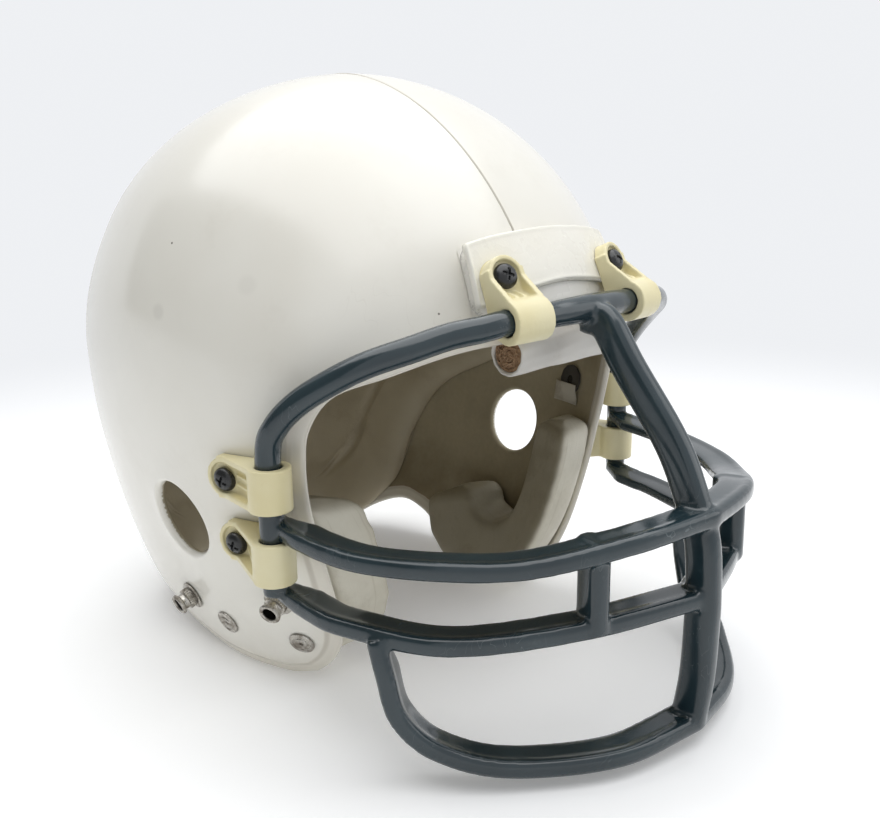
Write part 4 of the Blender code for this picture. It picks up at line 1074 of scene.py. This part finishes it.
RIDGE_DEPTH, STUB_DEPTH, FLAT_HALF, WEB_RAMP = 0.00675, 0.0068, 0.019, 0.012
GUARD_HEART = (0, 0.2705, 0.35)


def guard_place(shares, side=-1):
    """A place on the guard: half widths out, guard lengths ahead of the widest place, shell heights up."""
    x, ahead, high = np.moveaxis(np.array(shares, float), -1, 0)
    return np.stack([side * x * HALF_WIDTH, WIDEST_Y - ahead * GUARD_REACH, high * SHELL_HEIGHT], axis=-1)


def loft(path, sections, level_out=True):
    """Sections of (outward, across) points carried along a path and closed at both ends."""
    along = unit(np.gradient(path, axis=0))
    outward = path - guard_place(GUARD_HEART)
    if level_out:
        outward[:, 2] = 0
    outward = unit(outward - along * (along * outward).sum(1, keepdims=True))
    across = np.cross(along, outward)
    rings = path[:, None] + sections[..., :1] * outward[:, None] + sections[..., 1:] * across[:, None]
    rows, sides = rings.shape[:2]
    return rings.reshape(-1, 3), grid_faces(rows, sides, False, True).tolist() + caps(rows, sides)


def super_section(centre, half_out, half_across, power=4.0, sides=28):
    """A rounded rectangle: |out / a|^n + |across / b|^n = 1 about a centre."""
    turns = np.linspace(0, math.tau, sides, endpoint=False)
    cos, sin = np.cos(turns), np.sin(turns)
    size = (np.abs(cos) ** power + np.abs(sin) ** power) ** (-1 / power)
    return np.stack([centre[0] + half_out * size * cos, centre[1] + half_across * size * sin], axis=1)


def build_guard():
    """The round brow bar, flattened wide between the top clamps, then bead and web for each cross bar."""
    brow = even(mirrored(smooth_line(guard_place(BROW_BAR), 12)), 170)
    x = np.abs(brow[:, 0])
    flat = np.clip(1 - x / FLAT_HALF, 0, 1) ** 0.6
    radii = np.stack([BAR_RADIUS * (1 + 0.25 * flat), BAR_RADIUS * (1 + 0.10 * flat)], axis=1)
    solids = [loft(brow, super_section((0, 0), 1, 1, 2.0, 24) * radii[:, None])]
    for shares in CROSS_BARS:
        path = even(mirrored(smooth_line(guard_place(shares), 12)), 150)
        run = run_along(path)
        deep = WEB_DEPTHS[0] + WEB_DEPTHS[1] * np.clip(np.minimum(run, run[-1] - run) / WEB_RAMP, 0, 1)
        webs = [super_section((-d / 2 - WEB_EDGE, -0.0006), d / 2 - WEB_EDGE, 0.0024, 5.0) for d in deep]
        solids += [loft(path, super_section((-0.0024, 0), *BEAD, 3.0)), loft(path, np.stack(webs))]
    ridge = even(smooth_line(guard_place(RIDGE), 12), 90)
    solids.append(loft(ridge, super_section((-RIDGE_DEPTH, 0), RIDGE_DEPTH, 0.0045, 3.2), False))
    for side in (-1, 1):
        stub = even(np.stack([guard_place(place, side) for place in STUBS]), 12)
        solids.append(loft(stub, super_section((-STUB_DEPTH, 0), STUB_DEPTH, 0.0043, 3.2)))
    return melted("guard_moulding", solids, 0.00098, 4)


piece("face_guard_moulding", build_guard(), LOOKS["guard"], replaces=["facemask"])

# %% [markdown]
# ## Clamps, screws and nuts
#
# Each clamp is a nylon loop round the bar with an ear on the shell. The ear has two side walls, a
# half ring round the screw and two small ribs up to the loop. One clamp could be copied six times,
# but the seats differ, so each is melted from the same solids in its own frame. Then its underside
# is pressed onto whatever it sits on, and its loop is kept clear of the bar.

# %% Clamp moulding
LOOP_BORE, LOOP_RADIUS, EAR_THICK, RIB_TOP, CLAMP_HALF = 0.0052, 0.0084, 0.0040, 0.0058, 0.0085
HEAD_ROOM, EAR_ROUND, EAR_START, WALL_INSIDE = 0.0062, 0.0080, 0.0045, 0.0060
RIB_PLACE, RIB_HALF = 0.0019, 0.0006


def clamp_frame(bar, along, seat, under):
    """A clamp's axes (across, ahead, up), its origin and seat, and how far and high the bar lies."""
    outward = dome_normal(seat)
    along = unit(np.array(along, float))
    up = unit(outward - outward @ along * along)
    base = seat + outward * under
    lean = bar - base
    ahead = -(lean - lean @ up * up - lean @ along * along)
    reach, rise = np.linalg.norm(ahead), lean @ up
    ahead = ahead / reach
    return np.stack([np.cross(ahead, up), ahead, up]), base - reach * ahead, base, outward, reach, rise


def clamp_solids(reach, rise):
    """Loop, ear, half ring, core, side walls and ribs: outlines in the clamp's frame, made solid."""
    plan_axes, side_axes = np.eye(3), np.eye(3)[[1, 2, 0]]
    whole, half = np.linspace(0, math.tau, 49)[:-1], np.linspace(-0.35, math.pi + 0.35, 33)
    arc, neck = np.linspace(0, math.pi, 25), reach * 0.35
    end = np.stack([EAR_ROUND * np.cos(arc), reach + EAR_ROUND * np.sin(arc)], axis=1)
    plan = [(CLAMP_HALF, EAR_START), (CLAMP_HALF, neck), *end, (-CLAMP_HALF, neck), (-CLAMP_HALF, EAR_START)]
    toe, under_loop = [(0.0055, -0.0030), (0.0031, rise - 0.0086)], (0, rise - 0.0060)
    top = (LOOP_RADIUS * 0.64, rise + LOOP_RADIUS * 0.74)
    wall = [*toe, under_loop, top, (reach - 0.0005, RIB_TOP), (reach + 0.003, RIB_TOP), (reach + 0.003, 0)]
    core = [
        *toe, under_loop, (LOOP_RADIUS * 0.80, rise - 0.0010), (0.0080, rise + 0.0012),
        (reach - 0.0064, EAR_THICK + 0.0003), (reach - 0.0064, 0),
    ]
    rib = [
        under_loop, (LOOP_RADIUS * 0.70, rise + 0.0030), (0.0088, rise + 0.0026),
        (reach - HEAD_ROOM, EAR_THICK + 0.0016), (reach - HEAD_ROOM, 0),
    ]
    loop_place, screw_place = np.array((0, 0, rise)), np.array((0, reach, 0))
    return [
        ring_solid(loop_place, -CLAMP_HALF, CLAMP_HALF, LOOP_BORE, LOOP_RADIUS, whole, side_axes),
        solid(plan, -0.0040, EAR_THICK, plan_axes),
        ring_solid(screw_place, 0, RIB_TOP, HEAD_ROOM, EAR_ROUND, half, plan_axes),
        solid(core, -CLAMP_HALF + 0.0006, CLAMP_HALF - 0.0006, side_axes),
        solid(wall, -CLAMP_HALF, -WALL_INSIDE, side_axes),
        solid(wall, WALL_INSIDE, CLAMP_HALF, side_axes),
        *[solid(rib, x - RIB_HALF, x + RIB_HALF, side_axes) for x in (-RIB_PLACE, RIB_PLACE)],
    ]


def build_clamp(name, bar, along, seat, under):
    """The clamp's solids put in place, melted, then fitted to the bar and the seat."""
    axes, origin, base, outward, reach, rise = clamp_frame(bar, along, seat, under)

    def fitted(points):
        """Out of the bar's bore, between the clamp's two flat sides, and up onto the seat."""
        local = (points - origin) @ axes.T
        away = local[:, 1:] - (0, rise)
        far = np.linalg.norm(away, axis=1)
        open_up = far < LOOP_BORE
        local[open_up, 1:] = (0, rise) + away[open_up] * (LOOP_BORE / far[open_up])[:, None]
        local[:, 0] = np.clip(local[:, 0], -CLAMP_HALF, CLAMP_HALF)
        points = origin + local @ axes
        buried = under + GAP - height_over_dome(points)
        return points + dome_normal(points) * np.maximum(buried, 0)[:, None]

    placed = [(origin + points @ axes, faces) for points, faces in clamp_solids(reach, rise)]
    return melted(name, placed, 0.00042, 9, fitted), base, outward, axes[1]


print("each clamp is", round(2 * CLAMP_HALF / MM, 1), "mm wide")

# %% Screws
def lathe(profile, place, outward, ahead, sides=48, radial=None, sink=None):
    """(radius, height) rows turned about an axis. `radial` and `sink` change radius and height."""
    profile = np.array(profile, float)
    third = np.cross(outward, ahead)
    ahead = np.cross(third / np.linalg.norm(third), outward)
    turns = np.linspace(0, math.tau, sides, endpoint=False)
    r, h = profile[:, :1] + 0 * turns, profile[:, 1:] + 0 * turns
    if radial:
        r = radial(r, h, turns)
    if sink:
        h = sink(r, h, turns)
    axes = np.stack([unit(np.cross(ahead, outward)), ahead, outward])
    points = place + np.stack([r * np.cos(turns), r * np.sin(turns), h], axis=-1) @ axes
    return points.reshape(-1, 3), grid_faces(len(profile), sides, wrap_columns=True)


SCREW_RADIUS, SCREW_HEIGHT, SHAFT_RADIUS = 0.0049, 0.0033, 0.0022
SLOT_TURN, SLOT_HALF, SLOT_REACH, SLOT_DEPTH = 0.4, 0.00062, 0.0026, 0.0013


def cross_recess(r, h, turns):
    """A cross recess: two slots about 1 mm wide and 5 mm long, deepest at the middle."""
    x, y = np.abs(r * np.cos(turns + SLOT_TURN)), np.abs(r * np.sin(turns + SLOT_TURN))
    slots = [
        np.clip((SLOT_HALF - a) / 0.0002, 0, 1) * np.clip((SLOT_REACH - b) / 0.0004, 0, 1)
        for a, b in ((x, y), (y, x))
    ]
    top = h > EAR_THICK + SCREW_HEIGHT * 0.3
    return h - SLOT_DEPTH * np.maximum(*slots) * top * (1 - 0.5 * r / SLOT_REACH).clip(0, 1)


def build_screw(name, base, outward, ahead, under):
    """A round head with a cross in it, and a plain shaft through the ear and the wall."""
    radii = np.linspace(0, SCREW_RADIUS, 34)
    head = EAR_THICK + GAP
    dome = head + 0.0006 + (SCREW_HEIGHT - 0.0006) * (1 - (radii / SCREW_RADIUS) ** 2.6) ** 0.62
    end = -under - WALL - 0.0018
    profile = [*zip(radii, dome), (SCREW_RADIUS, head), (SHAFT_RADIUS, head), (SHAFT_RADIUS, end), (0, end)]
    return mesh_of(name, *lathe(profile, base, outward, ahead, 72, sink=cross_recess))


print("screw heads are", round(2 * SCREW_RADIUS / MM, 1), "mm across")

# %% Clamps in place
SIDE_SCREWS = {"upper": (0.283, 0.404), "lower": (0.298, 0.293)}
TOP_SCREW = (0.257, 0.672)
top_under = BUMPER_THICK + PLATE_THICK + 2 * GAP
clamps = []
for side, word in ((-1, "right"), (1, "left")):
    for end, shares in SIDE_SCREWS.items():
        bar = guard_place((*BROW_BAR[1][:2], shares[1]), side)
        clamps.append((f"{word}_{end}", bar, (0, 0, 1), shell_place(shares, side), 0))
    loop = guard_place(BROW_BAR[10:13], side)
    seat = front_place(np.array(side * TOP_SCREW[0] * HALF_WIDTH), np.array(TOP_SCREW[1] * SHELL_HEIGHT))
    clamps.append((f"{word}_top", loop[1], loop[2] - loop[0], seat, top_under))
for word, bar, along, seat, under in clamps:
    mesh, base, outward, ahead = build_clamp(f"{word}_clamp_form", bar, along, seat, under)
    piece(f"{word}_clamp_body", mesh, LOOKS["clamp"], replaces=[f"{word}_clamp"])
    screw = build_screw(f"{word}_screw_form", base, outward, ahead, under)
    piece(f"{word}_clamp_fixing", screw, LOOKS["screw"], replaces=[f"{word}_clamp_screw"], crease=40)

# %% [markdown]
# ## Chin strap posts and jaw pad studs
#
# The posts are turned nickel: a flange, a groove, a knurled collar and a hollow end. The studs
# show outside as flush discs with a ring and a small centre pip, and their balls hold the pads.
# A Screw modifier could turn a profile too, but here the lathe above serves again.

# %% Posts and studs
POSTS = {"rear": (0.508, 0.117), "front": (0.279, 0.176)}
SNAPS = {"rear": (0.421, 0.091), "front": (0.277, 0.089)}
UP = np.array((0, 0, 1.0))
POST_SIDES, TEETH, TOOTH_HEIGHT, BALL_RADIUS = 156, 26, 0.00016, 0.0025


def knurl(r, h, turns):
    """Small teeth round the collar, between its two edges."""
    teeth = (h > 0.0016) & (h < 0.0043) & (r > 0.0044)
    return r + np.where(teeth, TOOTH_HEIGHT * np.sign(np.sin(TEETH * turns)), 0)


def build_post(name, place, outward):
    """The post's (radius, height) rows. The last four rows line its bore, which is marked for painted shade.
    """
    profile = MM * np.array([
        (2.0, 0.3), (6.3, 0.3), (6.6, 0.6), (6.6, 1.0), (6.2, 1.2), (4.1, 1.3), (4.1, 1.5), (4.5, 1.7),
        (4.6, 1.8), (4.6, 4.1), (4.5, 4.3), (3.8, 4.5), (3.6, 4.8), (3.6, 6.6), (4.1, 6.9), (4.7, 7.3),
        (4.8, 8.1), (4.4, 8.7), (3.4, 8.7), (3.1, 8.4), (3.0, 7.8), (2.4, 5.6), (2.0, 5.0), (2.0, 0.3),
    ])
    # dark marks the bore's rows, where the finish paints shade.
    dark = np.repeat(np.arange(len(profile)) >= len(profile) - 4, POST_SIDES).astype(float)
    shape = lathe(profile, place, outward, UP, POST_SIDES, radial=knurl)
    return mesh_of(name, *shape, marks={"bore": dark})


def build_stud(name, place, outward):
    """The stud's disc outside, then its shaft through the wall and its ball inside."""
    ball, turns = -WALL - 0.0040, np.radians(np.linspace(50, -90, 15))
    disc = MM * np.array([
        (0, 0.4), (0.7, 0.4), (0.9, 1.1), (1.2, 1.25), (3.0, 1.25), (3.3, 0.85), (3.7, 0.85), (4.0, 1.20),
        (5.0, 1.15), (5.6, 0.9), (5.8, 0.6), (5.8, 0.3), (1.5, 0.3),
    ])
    profile = [*disc, *np.stack([BALL_RADIUS * np.cos(turns), ball + BALL_RADIUS * np.sin(turns)], axis=1)]
    return mesh_of(name, *lathe(profile, place, outward, UP, 64))


TURNED = (
    (POSTS, build_post, "chin_post", "strap_post"),
    (SNAPS, build_stud, "snap_stud", "pad_stud"),
)
for side, word in ((-1, "right"), (1, "left")):
    for places, build, own, node in TURNED:
        for end, shares in places.items():
            place, which = shell_place(shares, side), f"{word}_{end}"
            mesh = build(f"{which}_{own}_form", place, dome_normal(place))
            piece(f"{which}_{own}", mesh, LOOKS["metal"], replaces=[f"{which}_{node}"], crease=35)

# %% [markdown]
# ## Jaw pads
#
# Each pad is a foam block in tight vinyl, bent to a J along the jaw flap. It could be a box bent
# along a curve, but its back has to follow the wall. So its section, a rounded rectangle that
# swells a little between the ends, is carried along the J on the dome, and the back is dented
# where nuts, screw heads and snaps stand out of the shell.

# %% Jaw pads
PAD_PATH = (
    (0.232, 0.345), (0.232, 0.310), (0.234, 0.245), (0.246, 0.165), (0.280, 0.102), (0.334, 0.067),
    (0.395, 0.062), (0.447, 0.078), (0.482, 0.112), (0.495, 0.150),
)
PAD_HALF_WIDTHS = (0.0135, 0.0155, 0.0155, 0.0150, 0.0140, 0.0130, 0.0130, 0.0150, 0.0170, 0.0160)
PAD_HALF_DEPTHS = (0.0122, 0.0155)
PAD_END, PAD_FLOOR, END_POWER = 0.0075, 0.0025, 2.6
DENT_SLOPE, FOLD_HEIGHT, FOLDS = 0.003, 0.00035, 90
PAD_ROWS, PAD_SIDES = 110, 72


def pad_dents(places):
    """How much further in the back lies near each thing that stands out of the shell's inner face."""
    dent = np.zeros(places.shape[:-1])
    stands = [(shares, 0.0110, 0.0036) for shares in SIDE_SCREWS.values()]
    stands += [(shares, 0.0075, 0.0036) for shares in POSTS.values()]
    stands += [(shares, 0.0062, 0.0072) for shares in SNAPS.values()]
    for shares, radius, depth in stands:
        far = np.linalg.norm(places - side_line(shares), axis=-1)
        dent = np.maximum(dent, depth * (1 - np.clip((far - radius) / DENT_SLOPE, 0, 1) ** 2))
    return dent


def build_pad(name, side):
    """Rounded-rectangle sections along the J: |across / w|^6 + |depth / d|^6 = 1, ends closed in a curve."""
    path = even(smooth_line(side_line(PAD_PATH), 30), PAD_ROWS)
    run = run_along(path)
    way = run / run[-1]
    along = unit(np.gradient(path, axis=0))
    across = np.stack([-along[:, 1], along[:, 0]], axis=1)
    wide = np.interp(np.linspace(0, 1, PAD_ROWS), np.linspace(0, 1, len(PAD_PATH)), PAD_HALF_WIDTHS)
    to_end = np.minimum(run, run[-1] - run)
    close = (1 - (1 - np.clip(to_end / PAD_END, 0, 1)) ** END_POWER) ** (1 / END_POWER)
    close = np.maximum(close, 0.02)
    turns = np.linspace(0, math.tau, PAD_SIDES, endpoint=False)
    cos, sin = np.cos(turns), np.sin(turns)
    size = (np.abs(cos) ** 6 + np.abs(sin) ** 6) ** (-1 / 6)
    swell = 1 + 0.05 * np.sin(math.pi * np.clip(way, 0, 1)) ** 0.5
    late = np.clip((way - 0.45) / 0.35, 0, 1)
    front, rear = PAD_HALF_DEPTHS
    half = (front + (rear - front) * late * late * (3 - 2 * late))[:, None]
    aside = (wide * close * swell)[:, None] * size * cos
    depth = half - half * (0.35 + 0.65 * close)[:, None] * size * sin
    folds = FOLD_HEIGHT * np.sin(FOLDS * way)[:, None] * (size * sin < -0.5) * np.clip(-cos, 0, 1)
    view = path[:, None] + across[:, None] * aside[..., None]
    view[..., 1] = np.maximum(view[..., 1], PAD_FLOOR)
    wall = side_place(view[..., 0], view[..., 1])
    inward = np.maximum(depth - folds, pad_dents(view))[..., None] * (1.0, 0, 0)
    points = (wall - dome_normal(wall) * (WALL + 3 * GAP) + inward) * (-side, 1, 1)
    faces = grid_faces(PAD_ROWS, PAD_SIDES, wrap_columns=True).tolist() + caps(PAD_ROWS, PAD_SIDES)
    # inner marks the face towards the head, where the finish paints shade.
    inner = np.clip(-1.2 * size * sin, 0, 1) ** 6 + 0 * run[:, None]
    marks = {"run": np.repeat(run, PAD_SIDES), "lay": depth.ravel(), "inner": inner.ravel()}
    return mesh_of(name, points, faces, marks=marks)


for side, word in ((-1, "right"), (1, "left")):
    mesh = build_pad(f"{word}_pad_form", side)
    pad = piece(f"{word}_jaw_cushion", mesh, LOOKS["pad"], f"{word}_pad", [f"{word}_jaw_pad"])
    finer = pad.modifiers.new("finer", "SUBSURF")
    finer.levels = finer.render_levels = 1

# %% [markdown]
# ## Small parts that keep their CAD form
#
# The nuts, the posts' inner screws and the pads' sockets are plain turned parts. They could be
# made again with the lathe, but they hardly show, so they keep the CAD solids and only take
# better finishes. A blank paper label over the upper left nut is the one small piece that the CAD
# leaves out.

# %% Finishes on kept CAD parts
def refinish(node, look):
    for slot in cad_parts[node].material_slots:
        slot.material = look


for word in ("right", "left"):
    for end in ("upper", "lower", "top"):
        refinish(f"{word}_{end}_clamp_nut", LOOKS["nut"])
    for end in ("rear", "front"):
        refinish(f"{word}_{end}_strap_post_screw", LOOKS["metal"])
        refinish(f"{word}_{end}_pad_socket", LOOKS["nut"])
print("refinished", 2 * (3 + 2 + 2), "CAD parts")

# %% Inner label
def build_label():
    """A thin closed sheet on the inner wall, domed a little over the nut's flange."""
    y, z = np.meshgrid(np.linspace(-0.007, 0.013, 25), np.linspace(-0.0125, -0.0020, 17), indexing="ij")
    middle = side_line(SIDE_SCREWS["upper"])
    wall = side_place(middle[0] + y, middle[1] + z)
    over = 0.0026 * np.exp(-((np.hypot(y, z) / 0.0105) ** 6))
    sheets = [wall - dome_normal(wall) * (WALL + over + lift)[..., None] for lift in (0.0003, 0.0005)]
    number = np.arange(y.size).reshape(y.shape)
    loop = np.concatenate([number[0], number[1:, -1], number[-1, -2::-1], number[-2:0:-1, 0]])
    after = np.roll(loop, -1)
    rim = np.stack([loop, after, after + y.size, loop + y.size], axis=1)
    faces = [grid_faces(*y.shape), grid_faces(*y.shape, first=y.size), rim]
    points = np.vstack([sheet.reshape(-1, 3) for sheet in sheets]) * (-1, 1, 1)
    return mesh_of("label_form", points, np.vstack(faces))


piece("blank_inner_label", build_label(), LOOKS["sticker"])

# %% [markdown]
# ## Floor and light
#
# Goods are photographed on a pale sweep under soft boxes. A curved backdrop could be modelled, but
# from other sides its edges would show. So the floor is flat and fades into a pale surround that
# only the camera and reflections see, and it keeps the soft shadow near the helmet. A grey card
# on the left, which the camera doesn't see, darkens that side and its reflections.

# %% Floor
PALE = (0.86, 0.875, 0.90, 1)


def floor_look():
    """Pale paper near the helmet, eased into the surround's own colour further out."""
    look, tree, place, shader = new_look("pale_floor", 0.7)
    tint = blended(tree, noise(tree, place, 3.0, 2), (0.90, 0.905, 0.915), (0.92, 0.925, 0.93))
    tree.links.new(tint, shader["Base Color"])
    far = add(tree, "VectorMath", (0, place), operation="LENGTH").outputs["Value"]
    white = add(tree, "Emission", ("Color", PALE), ("Strength", 1.0))
    shader["Emission Color"].default_value = (1, 1, 1, 1)
    shader["Emission Strength"].default_value = 0.20
    mixer = add(tree, "MixShader", (0, between(tree, far, 0.24, 0.85)))
    tree.links.new(tree.nodes["Principled BSDF"].outputs[0], mixer.inputs[1])
    tree.links.new(white.outputs[0], mixer.inputs[2])
    tree.links.new(mixer.outputs[0], tree.nodes["Material Output"].inputs["Surface"])
    return look


def flat_sheet(name, corners, look):
    """A flat sheet of four corners."""
    sheet = bpy.data.objects.new(name, bpy.data.meshes.new(name))
    sheet.data.from_pydata(corners, [], [(0, 1, 2, 3)])
    sheet.data.materials.append(look)
    bpy.context.scene.collection.objects.link(sheet)
    return sheet


FLOOR_HALF, FLOOR_Z = 9, -0.0002
corners = [(x * FLOOR_HALF, y * FLOOR_HALF, FLOOR_Z) for x, y in ((-1, -1), (1, -1), (1, 1), (-1, 1))]
floor = flat_sheet("floor", corners, floor_look())
print("floor", floor.dimensions[:])

# %% Lamps and card
def soft_box(name, place, target, size, power):
    """A rectangular lamp at a place, turned towards a target."""
    lamp = bpy.data.objects.new(name, bpy.data.lights.new(name, "AREA"))
    lamp.data.shape = "RECTANGLE"
    lamp.data.size, lamp.data.size_y = size
    lamp.data.energy = power
    away = Vector(place) - Vector(target)
    lamp.matrix_world = Matrix.Translation(place) @ away.to_track_quat("Z", "Y").to_matrix().to_4x4()
    bpy.context.scene.collection.objects.link(lamp)


soft_box("top_box", (0.05, 0.0, 1.30), (0, 0, 0.1), (1.9, 1.7), 22.0)
soft_box("right_box", (0.75, -0.95, 0.65), (0, -0.05, 0.12), (0.9, 0.9), 2.8)

card_look = moulded_look("grey_card", (0.20, 0.20, 0.19), (0.17, 0.17, 0.16), 0.9, (60, 0.1))
corners = [(-0.75, y, z) for y, z in ((-0.35, 0.10), (1.35, 0.10), (1.35, 1.05), (-0.35, 1.05))]
flag = flat_sheet("grey_flag", corners, card_look)
flag.visible_camera = False
print(len(bpy.data.lights), "lamps")

# %% Surround
world = bpy.data.worlds.new("surround")
bpy.context.scene.world = world
world.use_nodes = True
tree = world.node_tree
surround = tree.nodes["Background"]
lit = add(tree, "Background", ("Color", PALE), ("Strength", 1.0))
surround.inputs["Color"].default_value = (0.93, 0.96, 1.0, 1)
surround.inputs["Strength"].default_value = 0.30
rays = tree.nodes.new("ShaderNodeLightPath").outputs
seen = plus(tree, rays["Is Camera Ray"], rays["Is Glossy Ray"])
mixer = add(tree, "MixShader", (0, maths(tree, "ADD", seen, rays["Is Transmission Ray"], True)))
tree.links.new(surround.outputs[0], mixer.inputs[1])
tree.links.new(lit.outputs[0], mixer.inputs[2])
tree.links.new(mixer.outputs[0], tree.nodes["World Output"].inputs["Surface"])
bpy.context.scene.view_settings.view_transform = "Standard"
print("the surround is", world.name)
